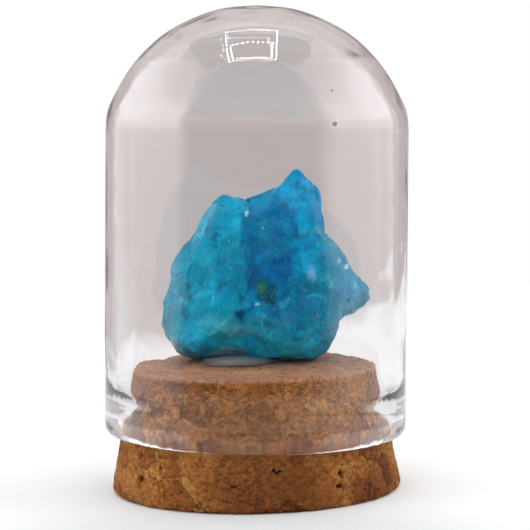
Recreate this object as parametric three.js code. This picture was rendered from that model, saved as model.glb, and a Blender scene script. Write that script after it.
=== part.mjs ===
// Rough blue opal glued to a tapered cork plug, under a small clear glass dome.
// Millimetres, +Z up. The origin is the centre of the cork's underside.
import * as THREE from "three";
import { ConvexHull } from "three/addons/math/ConvexHull.js";
import { ImprovedNoise } from "three/addons/math/ImprovedNoise.js";
import { mergeVertices } from "three/addons/utils/BufferGeometryUtils.js";

// Cork plug: a taper with softened edges.
const CORK_HEIGHT = 15.3;
const CORK_BASE_R = 17.75;
const CORK_TOP_R = 14.95;
const CORK_BASE_EDGE = 0.8;
const CORK_TOP_EDGE = 0.4;
const CORK_SEGMENTS = 52;

// Glass dome: blown, so its bore leans a little against the outside.
const RIM_Z = 6.8;
const WALL_OUTER_R = 18.55;
const WALL_INNER_R = 17.2;
const WALL_TAPER = 0.08;
const LIP_INNER_R = 16.45;
const LIP_TOP_Z = 13.6;
const FOOT_EDGE = 1.5;
const SHOULDER_Z = 44;
const CROWN_Z = 59.25;
const CROWN_INNER_Z = 58;
const DOME_LEAN = THREE.MathUtils.degToRad(1.6);
const BORE_LEAN = 0.009;
const DOME_OFFSET_X = -0.05;
const DOME_SEGMENTS = 44;

// Opal: landmarks are joined round this centre, then each face is split and roughened.
const OPAL_CENTRE = new THREE.Vector3(0.5, 6.6, 25);
const OPAL_SPLITS = 2;
const ROUGHNESS = [{ pitch: 4.3, depth: 0.38 }, { pitch: 1.9, depth: 0.2 }];
const SMOOTH_BELOW_Z = 16.4;
const ROUGH_ABOVE_Z = 18.7;

// Dab of set glue under the arch of the stone.
const GLUE = { x: -1.7, y: 2, halfWidth: 4.8, halfDepth: 3.8, height: 0.55, edge: 0.15 };
const GLUE_SEGMENTS = 28;

// Two points closer than this are one point, and a point this close to a profile lies on it.
const MERGE_WITHIN = 1e-4;
const ON_PROFILE_WITHIN = 1e-3;

/** Points of a smooth curve through [radius, height] pairs, as Vector2s. */
function smoothProfile(pairs, steps) {
  const curve = new THREE.SplineCurve(pairs.map(([r, z]) => new THREE.Vector2(r, z)));
  return curve.getPoints(steps);
}

/** A quarter turn of an edge rounding, centred at (r, z), from one angle to another in degrees. */
function edgeArc(r, z, radius, from, to, steps) {
  const points = [];
  for (let i = 0; i <= steps; i += 1) {
    const angle = THREE.MathUtils.degToRad(from + ((to - from) * i) / steps);
    points.push(new THREE.Vector2(r + radius * Math.cos(angle), z + radius * Math.sin(angle)));
  }
  return points;
}

/** A solid of revolution about Z from a profile of radius and height, with its points merged. */
function turned(profile, segments) {
  const geometry = new THREE.LatheGeometry(profile, segments);
  geometry.rotateX(Math.PI / 2);
  geometry.deleteAttribute("normal");
  geometry.deleteAttribute("uv");
  return mergeVertices(geometry, MERGE_WITHIN);
}

function makeCork() {
  const profile = [
    new THREE.Vector2(0, 0),
    ...edgeArc(CORK_BASE_R - CORK_BASE_EDGE, CORK_BASE_EDGE, CORK_BASE_EDGE, -90, 0, 3),
    ...edgeArc(CORK_TOP_R - CORK_TOP_EDGE, CORK_HEIGHT - CORK_TOP_EDGE, CORK_TOP_EDGE, 0, 90, 3),
    new THREE.Vector2(0, CORK_HEIGHT),
  ];
  return turned(profile, CORK_SEGMENTS);
}

function domeOutside() {
  const shoulder = smoothProfile([
    [WALL_OUTER_R - WALL_TAPER, SHOULDER_Z], [18.2, 46.4], [17.05, 48.9], [15.75, 51.1],
    [14, 53.3], [11.4, 55.65], [8.2, 57.45], [4.5, 58.75], [0, CROWN_Z],
  ], 13);
  return [
    ...edgeArc(WALL_OUTER_R - FOOT_EDGE, RIM_Z + FOOT_EDGE, FOOT_EDGE, -90, 0, 4),
    ...shoulder,
  ];
}

function domeBore() {
  const crown = smoothProfile([
    [0, CROWN_INNER_Z], [3.95, 57.6], [7.6, 56.4], [10.75, 54.65], [13.25, 52.5], [14.2, 51.4],
    [15, 50.2], [15.65, 49], [16.25, 47.8], [16.75, 46.6], [WALL_INNER_R, 44.4],
  ], 14);
  const lip = smoothProfile([
    [WALL_INNER_R, LIP_TOP_Z], [16.9, 11.9], [LIP_INNER_R, 9.9], [LIP_INNER_R, 9], [16.62, 8.1], [16.8, 7.4],
  ], 8);
  return [...crown, ...lip];
}

/** The dome's closed profile is turned, then the bore above the lip is leaned against the outside. */
function makeDome() {
  const geometry = turned([...domeOutside(), ...domeBore(), ...domeOutside().slice(0, 1)], DOME_SEGMENTS);
  const position = geometry.getAttribute("position");
  const bore = domeBore();
  for (let i = 0; i < position.count; i += 1) {
    const r = Math.hypot(position.getX(i), position.getY(i));
    const z = position.getZ(i);
    const onBore = bore.some((point) => Math.hypot(point.x - r, point.y - z) < ON_PROFILE_WITHIN);
    if (onBore && z > LIP_TOP_Z) position.setX(i, position.getX(i) - BORE_LEAN * (z - LIP_TOP_Z));
  }
  return geometry;
}

// Landmarks of the stone, [x, y, z], named for the feature that they draw.
const OPAL_LANDMARKS = {
  peak: [[4.8, 5, 38], [6.1, 5, 38.6], [7.6, 5, 37.3], [8.7, 5.5, 36], [8.7, 5, 34.4], [9.1, 4.5, 32.5],
    [9.1, 4, 30.9], [3.5, 5, 36.7], [6.1, 2.2, 36.5], [7.3, 1.4, 34.7], [7.5, 0.8, 32.3]],
  peakRidge: [[3.6, 3.2, 36], [4.9, 1.5, 35.1], [5.9, 0.2, 34], [5.8, 0, 32.2], [6.7, -0.6, 31.2],
    [7.8, 0.2, 30.5], [8.9, 1.4, 29.8]],
  saddle: [[2.4, 5, 36.5], [0.8, 4.5, 35.7], [-0.3, 4, 35.2]],
  rightEdge: [[10, 4, 30.2], [11, 3.5, 28.5], [11.9, 3.5, 26.9], [11, 3.4, 21], [10.6, 3.3, 20.2],
    [10.1, 3.6, 18.5], [9.5, 3.8, 17.2], [9, 4, 16.3]],
  spur: [[12.7, 3.8, 25.6], [14.1, 4.4, 24.7], [14.8, 4.6, 24], [14.8, 4.6, 22.8], [14.1, 4.8, 21.9],
    [12.6, 4.4, 21.4], [13.5, 3.2, 23.6]],
  spurRidge: [[11.9, 1.8, 26.2], [12.5, 1.6, 24.7], [12.5, 1.6, 23.2], [11.9, 1.8, 22.4], [11, 2.6, 21.4]],
  rightFace: [[8.1, -1, 27.8], [9.9, 1.2, 28.8], [10.2, 0.2, 26.9], [8.9, -1.2, 25.5], [7.3, -1.8, 26.3],
    [8.2, -2.4, 23.3], [10.5, -0.6, 24]],
  hollow: [[-0.3, 1.3, 33.6], [1.6, 1.6, 33.4], [3.6, 1.4, 33], [2.6, 1.4, 30.6], [0.6, 0.9, 30.8],
    [4.6, 0.8, 30.4], [0.1, 0.2, 27.6], [2.4, 1, 27.4], [4.5, 0.6, 27.9], [-0.3, -0.7, 25],
    [1.4, 0, 24.4], [3.4, -0.3, 25.5], [2.4, -1.3, 23.3], [0.4, -1.9, 22.9], [-1.3, -2, 22]],
  lowRidge: [[0, -3.5, 21.1], [1.3, -3.8, 21.6], [3.5, -3.8, 22.9], [4.3, -3.2, 24], [5.7, -2.6, 25.7],
    [6.6, -1.8, 26.9], [6.3, -0.8, 28.7]],
  lowRight: [[5.7, -3.6, 23.4], [3.6, -4.3, 20.5], [6.3, -3.5, 20.3], [8.8, -1, 20], [5.7, -3, 18],
    [8, -0.6, 17.8], [3.3, -3.4, 18.2], [1.2, -2.7, 19], [3.6, -0.8, 16.6], [6.3, -0.6, 16.5]],
  lobeRidge: [[-1.7, 2.5, 35.3], [-1.2, 0, 33.7], [-1.2, -1.5, 32.2], [-1.5, -2.5, 30.7], [-1.5, -3.5, 28.5],
    [-1.7, -4, 24.9], [-2, -4, 22.7], [-2.6, -3.5, 21.7]],
  lobe: [[-4, 0.3, 33.7], [-5.7, 0, 30.1], [-4.8, -0.4, 31.4], [-3.4, -1.6, 30.9], [-4.5, -1.5, 29.3],
    [-2.9, -2.8, 29], [-4.7, -2.3, 28.2], [-4.4, -3, 25.8], [-3.7, -3.6, 24], [-7.2, 0.6, 28.4],
    [-6.4, -1, 27.1], [-8.9, 1.5, 26.4], [-7.9, -0.6, 23.2], [-5.8, -2.5, 23.6], [-5.9, -2.8, 20.9],
    [-9.7, 1, 20.6], [-8.6, 0, 18.2], [-6.6, -2.2, 18.5], [-4.4, -3.4, 19.9]],
  leftEdge: [[-3.2, 3.5, 35.7], [-4.3, 4, 35.1], [-5.5, 4, 33.6], [-7.6, 4, 30.4], [-9.3, 4, 28.3],
    [-10.2, 4, 26.8], [-10.3, 3.5, 24.6], [-10.8, 3.5, 22.9], [-11, 3.5, 21.3], [-10.6, 4, 18.6],
    [-10, 4.5, 17.2], [-8.6, 5, 16]],
  undercut: [[-6.9, -0.4, 17.2], [-4.8, -0.4, 17.8], [-2.3, -0.3, 18.2], [-0.4, -0.9, 19],
    [-1.6, -1.9, 20.1]],
  arch: [[2.3, 2.2, 15.9], [0.4, 2, 16.2], [-2.1, 2.6, 16.2], [-4.2, 3.5, 16.2], [-5.4, 3.5, 15.9],
    [-1, 5.5, 16.2]],
  feet: [[7.8, 3.2, 15.3], [5.4, 2.8, 15.3], [3.8, 2.6, 15.3], [-7, 5, 15.3], [-7.7, 5.3, 15.3],
    [8.2, 6.5, 15.3], [5.5, 9, 15.3], [0.5, 9.8, 15.3], [-4.5, 9.2, 15.3], [-8.2, 7.5, 15.3],
    [4.2, 6, 15.3], [-5.6, 6.5, 15.3]],
  back: [[5, 8.4, 36.6], [7.6, 8, 34.8], [1.6, 8.4, 34.6], [-2.5, 7.6, 33.6], [5.5, 10.6, 31.5],
    [0.5, 10.8, 31], [-4.5, 9.6, 29.5], [8.8, 8.6, 29.6], [11, 7.6, 25.2], [7, 11.6, 26],
    [1, 12, 27], [-5, 11.2, 25.6], [-8.8, 8.8, 25.2], [12, 6.6, 22.9], [8.6, 9.4, 20.5], [4, 11.4, 20.5],
    [-2.5, 11.8, 20], [-7.3, 10, 20.5], [-10, 7.4, 20.8], [8.6, 6.8, 31.3],
    [10.3, 6.6, 20.2], [9.4, 6.6, 18]],
};

/** Landmarks joined into triangles: neighbours as seen from the stone's centre are neighbours on it. */
function joinLandmarks() {
  const points = Object.values(OPAL_LANDMARKS).flat().map((p) => new THREE.Vector3(...p));
  const directions = points.map((p) => p.clone().sub(OPAL_CENTRE).normalize());
  const hull = new ConvexHull().setFromPoints(directions);
  const faces = hull.faces.map((face) => {
    const corners = [face.edge, face.edge.next, face.edge.prev];
    return corners.map((edge) => directions.indexOf(edge.head().point));
  });
  return { points, faces };
}

/** Each triangle becomes four, with shared midpoints, so that the mesh stays closed. */
function splitFaces({ points, faces }) {
  const midpoints = new Map();
  const midpoint = (a, b) => {
    const key = a < b ? `${a}-${b}` : `${b}-${a}`;
    if (!midpoints.has(key)) {
      midpoints.set(key, points.length);
      points.push(points[a].clone().lerp(points[b], 0.5));
    }
    return midpoints.get(key);
  };
  const split = faces.flatMap(([a, b, c]) => {
    const [ab, bc, ca] = [midpoint(a, b), midpoint(b, c), midpoint(c, a)];
    return [[a, ab, ca], [b, bc, ab], [c, ca, bc], [ab, bc, ca]];
  });
  return { points, faces: split };
}

/** Points move in or out from the centre by layered noise, but stay put near the cork and the glue. */
function roughen(points) {
  const noise = new ImprovedNoise();
  for (const point of points) {
    const outward = point.clone().sub(OPAL_CENTRE).normalize();
    const clear = THREE.MathUtils.smoothstep(point.z, SMOOTH_BELOW_Z, ROUGH_ABOVE_Z);
    let move = 0;
    for (const { pitch, depth } of ROUGHNESS) {
      const at = point.clone().divideScalar(pitch);
      move += depth * noise.noise(at.x, at.y, at.z);
    }
    point.addScaledVector(outward, move * clear);
    point.z = Math.max(point.z, CORK_HEIGHT);
  }
}

function makeOpal() {
  let shape = joinLandmarks();
  for (let i = 0; i < OPAL_SPLITS; i += 1) shape = splitFaces(shape);
  roughen(shape.points);
  const geometry = new THREE.BufferGeometry().setFromPoints(shape.points);
  geometry.setIndex(shape.faces.flat());
  return geometry;
}

/**
 * A low lens of glue, flat underneath where it meets the cork, lower than the stone's arch. Its profile
 * has a radius of one, and is scaled to the dab's half width and half depth.
 */
function makeGlue() {
  const profile = [
    new THREE.Vector2(0, 0), new THREE.Vector2(1, 0), new THREE.Vector2(0.98, GLUE.edge),
    new THREE.Vector2(0.8, GLUE.height * 0.75), new THREE.Vector2(0.5, GLUE.height),
    new THREE.Vector2(0, GLUE.height),
  ];
  const geometry = turned(profile, GLUE_SEGMENTS);
  geometry.scale(GLUE.halfWidth, GLUE.halfDepth, 1);
  return geometry;
}

function addPart(parent, name, geometry, look) {
  const mesh = new THREE.Mesh(geometry, new THREE.MeshStandardMaterial(look));
  mesh.name = name;
  parent.add(mesh);
  return mesh;
}

const specimen = new THREE.Group();
addPart(specimen, "cork_base", makeCork(), { color: 0xa0683a, roughness: 0.9 });
addPart(specimen, "blue_opal", makeOpal(), { color: 0x2a86ab, roughness: 0.35 });
const glue = addPart(specimen, "glue_pad", makeGlue(), { color: 0xd8d2d0, roughness: 0.5 });
glue.position.set(GLUE.x, GLUE.y, CORK_HEIGHT);
const glassLook = { color: 0xf2f5f5, roughness: 0.02, transparent: true, opacity: 0.3 };
const dome = addPart(specimen, "glass_dome", makeDome(), glassLook);
dome.geometry.translate(0, 0, -RIM_Z);
dome.position.set(DOME_OFFSET_X, 0, RIM_Z);
dome.rotation.y = DOME_LEAN;

export default specimen;
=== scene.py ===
"""A rough blue opal glued on a pressed-cork plug, under a small blown-glass dome.

Everything is in metres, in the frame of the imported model: +Z up, the origin under the middle of the
plug, and the broken front of the stone towards -Y. Sizes are written in millimetres and turned by mm().
"""
import logging
import math
from collections.abc import Iterable
from dataclasses import dataclass
from enum import Enum
from typing import Any

import bmesh
import bpy
from mathutils import Matrix, Vector


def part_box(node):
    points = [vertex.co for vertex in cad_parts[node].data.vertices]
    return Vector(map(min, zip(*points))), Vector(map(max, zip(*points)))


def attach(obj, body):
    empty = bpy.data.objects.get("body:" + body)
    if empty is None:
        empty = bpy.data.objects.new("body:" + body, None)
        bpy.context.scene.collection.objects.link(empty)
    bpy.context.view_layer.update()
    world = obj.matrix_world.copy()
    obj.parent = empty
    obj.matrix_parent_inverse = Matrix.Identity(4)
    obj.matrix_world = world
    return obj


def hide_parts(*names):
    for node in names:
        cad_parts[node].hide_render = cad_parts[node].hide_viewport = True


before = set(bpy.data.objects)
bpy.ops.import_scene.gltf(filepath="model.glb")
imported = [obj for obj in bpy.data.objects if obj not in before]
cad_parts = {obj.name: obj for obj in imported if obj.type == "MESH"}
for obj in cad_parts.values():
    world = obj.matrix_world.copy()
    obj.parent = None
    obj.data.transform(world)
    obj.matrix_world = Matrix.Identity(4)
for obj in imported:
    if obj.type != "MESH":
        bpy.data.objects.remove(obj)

log = logging.getLogger("opal_dome")

BODY = "root"
WELD = 1e-6

Outline = list[tuple[float, float]]
Place = tuple[float, float, float]


# ---------------------------------------------------------------- small helpers


def mm(length: float) -> float:
    """A length in millimetres, in metres."""
    return length * 0.001


def mm_point(point: Iterable[float]) -> Vector:
    """A point in millimetres, in metres."""
    return Vector(point) * 0.001


def every(length: float) -> float:
    """The scale at which a pattern on coordinates in metres repeats every so many millimetres."""
    return 1000.0 / length


def linear(colour: str) -> tuple[float, float, float, float]:
    """Turns an sRGB hex colour to linear light.

    Args:
        colour: Six hex digits after a #.

    Returns:
        Linear red, green and blue, and an alpha of 1.
    """
    parts = [int(colour[i : i + 2], 16) / 255 for i in (1, 3, 5)]
    light = [c / 12.92 if c <= 0.04045 else ((c + 0.055) / 1.055) ** 2.4 for c in parts]
    return (light[0], light[1], light[2], 1.0)


def first_output(value: Any) -> Any:
    """Finds what a link starts from.

    Args:
        value: A node, a socket or a plain value.

    Returns:
        A node's first output in use, or the value itself if it isn't a node.
    """
    if isinstance(value, bpy.types.Node):
        return next(s for s in value.outputs if not s.is_unavailable)
    return value


def add(
    tree: bpy.types.NodeTree,
    kind: str,
    links: dict[Any, Any] | None = None,
    stops: list[tuple[float, Any]] | None = None,
    **settings: Any,
) -> bpy.types.Node:
    """Adds a node with its settings, values and links.

    Args:
        tree: The tree that gets the node.
        kind: The node's type.
        links: For each input, by name or by its number among those in use, a value, a node or a socket.
        stops: A colour ramp's places, each with a hex colour or a grey level.
        **settings: The node's own settings.

    Returns:
        The new node.
    """
    node = tree.nodes.new(kind)
    for name, value in settings.items():
        setattr(node, name, value)
    sockets = [s for s in node.inputs if not s.is_unavailable]
    for key, value in (links or {}).items():
        socket = sockets[key] if isinstance(key, int) else next(s for s in sockets if s.name == key)
        value = first_output(value)
        if isinstance(value, bpy.types.NodeSocket):
            tree.links.new(value, socket)
        else:
            socket.default_value = value
    if stops:
        elements = node.color_ramp.elements
        while len(elements) < len(stops):
            elements.new(1.0)
        for element, (place, colour) in zip(elements, stops):
            element.position = place
            element.color = linear(colour) if isinstance(colour, str) else (colour,) * 3 + (1.0,)
    return node


def between(ends: tuple[float, float]) -> dict[int, float]:
    """The inputs of a Map Range node for where its range starts and ends."""
    return {1: ends[0], 2: ends[1]}


def between_mm(ends: tuple[float, float]) -> dict[int, float]:
    """The same, for a range that is given in millimetres."""
    return between((mm(ends[0]), mm(ends[1])))


def shaken(
    tree: bpy.types.NodeTree, place: Any, size: float, reach: float, detail: float = 6.0, rough: float = 0.6
) -> bpy.types.Node:
    """Moves a place about by noise, so that what is drawn there gets a ragged edge.

    Args:
        tree: The tree that gets the nodes.
        place: The place, in metres.
        size: How wide the noise's waves are, in mm.
        reach: The furthest that the place is moved along each axis, in mm.
        detail: How many finer layers the noise has.
        rough: How strong the finer layers are.

    Returns:
        The moved place.
    """
    shake = add(tree, "ShaderNodeTexNoise",
                {"Vector": place, "Scale": every(size), "Detail": detail, "Roughness": rough})
    centred = add(tree, "ShaderNodeVectorMath", {0: shake.outputs["Color"], 1: (0.5, 0.5, 0.5)},
                  operation="SUBTRACT")
    push = add(tree, "ShaderNodeVectorMath", {0: centred, "Scale": mm(2 * reach)}, operation="SCALE")
    return add(tree, "ShaderNodeVectorMath", {0: place, 1: push})


def smooth_curve(points: Outline, steps: int) -> Outline:
    """Points of a Catmull-Rom curve through the given ones.

    Args:
        points: The curve's own points.
        steps: How many stretches each gap between two points is cut into.

    Returns:
        The points along the curve, both ends included.
    """
    ends = [points[0], *points, points[-1]]
    curve = []
    for a, b, c, d in zip(ends, ends[1:], ends[2:], ends[3:]):
        for i in range(steps):
            t = i / steps
            curve.append(tuple(
                0.5 * (2 * q + (r - p) * t + (2 * p - 5 * q + 4 * r - s) * t * t
                       + (3 * q - p - 3 * r + s) * t**3)
                for p, q, r, s in zip(a, b, c, d)
            ))
    return [*curve, points[-1]]


def arc(r: float, z: float, radius: float, start: float, stop: float, steps: int) -> Outline:
    """Points round part of a circle.

    Args:
        r: The circle's middle, out from the axis.
        z: The circle's middle, up.
        radius: The circle's radius.
        start: The first angle in degrees.
        stop: The last angle in degrees.
        steps: How many stretches the arc is cut into.

    Returns:
        The points, both ends included.
    """
    angles = [math.radians(start + (stop - start) * i / steps) for i in range(steps + 1)]
    return [(r + radius * math.cos(a), z + radius * math.sin(a)) for a in angles]


def straight(a: tuple[float, float], b: tuple[float, float], steps: int) -> Outline:
    """Points inside a straight stretch from a to b, without its two ends."""
    shares = [i / steps for i in range(1, steps)]
    return [(a[0] + (b[0] - a[0]) * t, a[1] + (b[1] - a[1]) * t) for t in shares]


def profile_mesh(name: str, points: Outline, **marks: list[float]) -> bpy.types.Mesh:
    """A line of (radius, height) points in millimetres, for turning.

    Args:
        name: The mesh's name.
        points: The profile's points.
        **marks: Attributes, one number for each point.

    Returns:
        The mesh, in metres, in the XZ plane.
    """
    mesh = bpy.data.meshes.new(name)
    corners = [mm_point((r, 0, z)) for r, z in points]
    mesh.from_pydata(corners, [(i, i + 1) for i in range(len(points) - 1)], [])
    for mark, values in marks.items():
        mesh.attributes.new(mark, "FLOAT", "POINT").data.foreach_set("value", values)
    return mesh


def new_tree(name: str, **sizes: float | int) -> tuple[bpy.types.NodeTree, bpy.types.Node]:
    """Starts a Geometry Nodes tree with a Geometry input and one named input for each size.

    Args:
        name: The tree's name.
        **sizes: Each input's name, with its usual value. A whole number makes a whole-number input.

    Returns:
        The tree and its group input node.
    """
    tree = bpy.data.node_groups.new(name, "GeometryNodeTree")
    tree.interface.new_socket("Geometry", in_out="INPUT", socket_type="NodeSocketGeometry")
    tree.interface.new_socket("Geometry", in_out="OUTPUT", socket_type="NodeSocketGeometry")
    for size, value in sizes.items():
        kind = "NodeSocketInt" if isinstance(value, int) else "NodeSocketFloat"
        tree.interface.new_socket(size, in_out="INPUT", socket_type=kind).default_value = value
    return tree, tree.nodes.new("NodeGroupInput")


def close_tree(tree: bpy.types.NodeTree, shape: Any, material: bpy.types.Material) -> bpy.types.NodeTree:
    """Ends a tree in Realize Instances, smooth shading and Set Material.

    Args:
        tree: The tree to end.
        shape: What the tree has made.
        material: What the shape is made of.

    Returns:
        The same tree.
    """
    real = add(tree, "GeometryNodeRealizeInstances", {0: shape})
    smooth = add(tree, "GeometryNodeSetShadeSmooth", {"Geometry": real})
    dressed = add(tree, "GeometryNodeSetMaterial", {"Geometry": smooth, "Material": material})
    tree.links.new(dressed.outputs[0], tree.nodes.new("NodeGroupOutput").inputs[0])
    return tree


def grow(name: str, mesh: bpy.types.Mesh, tree: bpy.types.NodeTree, **sizes: float | int) -> bpy.types.Object:
    """Runs a Geometry Nodes tree over a mesh and keeps the result as a plain mesh.

    Args:
        name: The new object's name.
        mesh: What the tree starts from.
        tree: The tree.
        **sizes: Values for the tree's named inputs.

    Returns:
        An object at the origin, with no modifier.
    """
    obj = bpy.data.objects.new(name, mesh)
    bpy.context.scene.collection.objects.link(obj)
    modifier = obj.modifiers.new("shape", "NODES")
    modifier.node_group = tree
    for item in tree.interface.items_tree:
        if item.in_out == "INPUT" and item.name in sizes:
            modifier[item.identifier] = sizes[item.name]
    result = obj.evaluated_get(bpy.context.evaluated_depsgraph_get())
    plain = bpy.data.meshes.new_from_object(result)
    obj.modifiers.clear()
    obj.data = plain
    plain.name = name
    return obj


def hand_over(piece: bpy.types.Object, slot: str, *nodes: str) -> None:
    """Attaches a finished piece to the body, hides the CAD nodes that it stands for, and logs its size.

    Args:
        piece: The finished piece.
        slot: The record's material slot for the piece. It is not used.
        *nodes: The CAD nodes that it stands for.
    """
    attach(piece, BODY)
    if nodes:
        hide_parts(*nodes)
    piece.data.calc_loop_triangles()
    log.info("%s: %d triangles", piece.name, len(piece.data.loop_triangles))


def new_material(name: str) -> tuple[bpy.types.Material, bpy.types.NodeTree]:
    """Starts a node material.

    Args:
        name: What the material is and how its surface was made.

    Returns:
        The material and its empty tree.
    """
    material = bpy.data.materials.new(name)
    material.use_nodes = True
    material.node_tree.nodes.clear()
    return material, material.node_tree


# ---------------------------------------------------------------- finishes


class Slot(Enum):
    """The record's material slots."""

    OPAL = "opal"
    CORK = "cork"
    GLASS = "dome_glass"
    GLUE = "glue"


@dataclass(frozen=True)
class ClearGlass:
    """Clear soda-lime glass, blown: colourless through the wall and grey along its edge.

    The foot was cut and melted smooth again, which leaves a little haze and short upright chatter marks.
    Sizes are in mm.
    """

    ior: float = 1.5
    absorption: str = "#E9EBEB"
    density: float = 60.0
    foot_haze: float = 0.18
    chatter: float = 1.3
    chatter_depth: float = 0.1
    chatter_stretch: float = 5.0

    def material(self) -> bpy.types.Material:
        """Makes the glass, with plain transmission and an even absorption inside the wall.

        Returns:
            The material. It reads the attribute cut, which is 1 at the foot.
        """
        material, tree = new_material("blown_soda_lime_glass")
        cut = add(tree, "ShaderNodeAttribute", attribute_name="cut").outputs["Fac"]
        rough = add(tree, "ShaderNodeMath", {0: cut, 1: self.foot_haze}, operation="MULTIPLY")
        upright = add(tree, "ShaderNodeMapping", {
            "Vector": add(tree, "ShaderNodeTexCoord").outputs["Object"],
            "Scale": (1.0, 1.0, 1.0 / self.chatter_stretch),
        })
        marks = add(tree, "ShaderNodeTexNoise",
                    {"Vector": upright, "Scale": every(self.chatter), "Detail": 2.0})
        chattered = add(tree, "ShaderNodeBump",
                        {"Height": marks, "Strength": cut, "Distance": mm(self.chatter_depth)})
        glass = add(tree, "ShaderNodeBsdfPrincipled", {
            "Base Color": (1.0, 1.0, 1.0, 1.0),
            "Roughness": rough,
            "IOR": self.ior,
            "Transmission Weight": 1.0,
            "Normal": chattered,
        })
        haze = add(tree, "ShaderNodeVolumeAbsorption",
                   {"Color": linear(self.absorption), "Density": self.density})
        add(tree, "ShaderNodeOutputMaterial", {"Surface": glass, "Volume": haze})
        return material


@dataclass(frozen=True)
class Spot:
    """A small place on a surface: its middle and half widths in mm, its lean to the right in degrees."""

    at: Place
    reach: Place
    lean: float = 0.0

    def felt(self, tree: bpy.types.NodeTree, place: Any, soft: float, strength: float = 1.0) -> Any:
        """How much a place belongs to the spot.

        Args:
            tree: The tree that gets the nodes.
            place: The place, in metres.
            soft: How wide the spot's edge is, as a share of its half width.
            strength: How much the spot's middle belongs to it.

        Returns:
            The strength inside and 0 outside.
        """
        apart = add(tree, "ShaderNodeVectorMath", {0: place, 1: mm_point(self.at)}, operation="SUBTRACT")
        if self.lean:
            apart = add(tree, "ShaderNodeVectorRotate", {"Vector": apart, "Angle": -math.radians(self.lean)},
                        rotation_type="Y_AXIS")
        local = add(tree, "ShaderNodeVectorMath", {0: apart, 1: mm_point(self.reach)}, operation="DIVIDE")
        far = add(tree, "ShaderNodeVectorMath", {0: local}, operation="LENGTH").outputs["Value"]
        return add(tree, "ShaderNodeMapRange",
                   {0: far, **between((1.0 - soft, 1.0 + soft)), 3: strength, 4: 0.0},
                   interpolation_type="SMOOTHSTEP")


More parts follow.
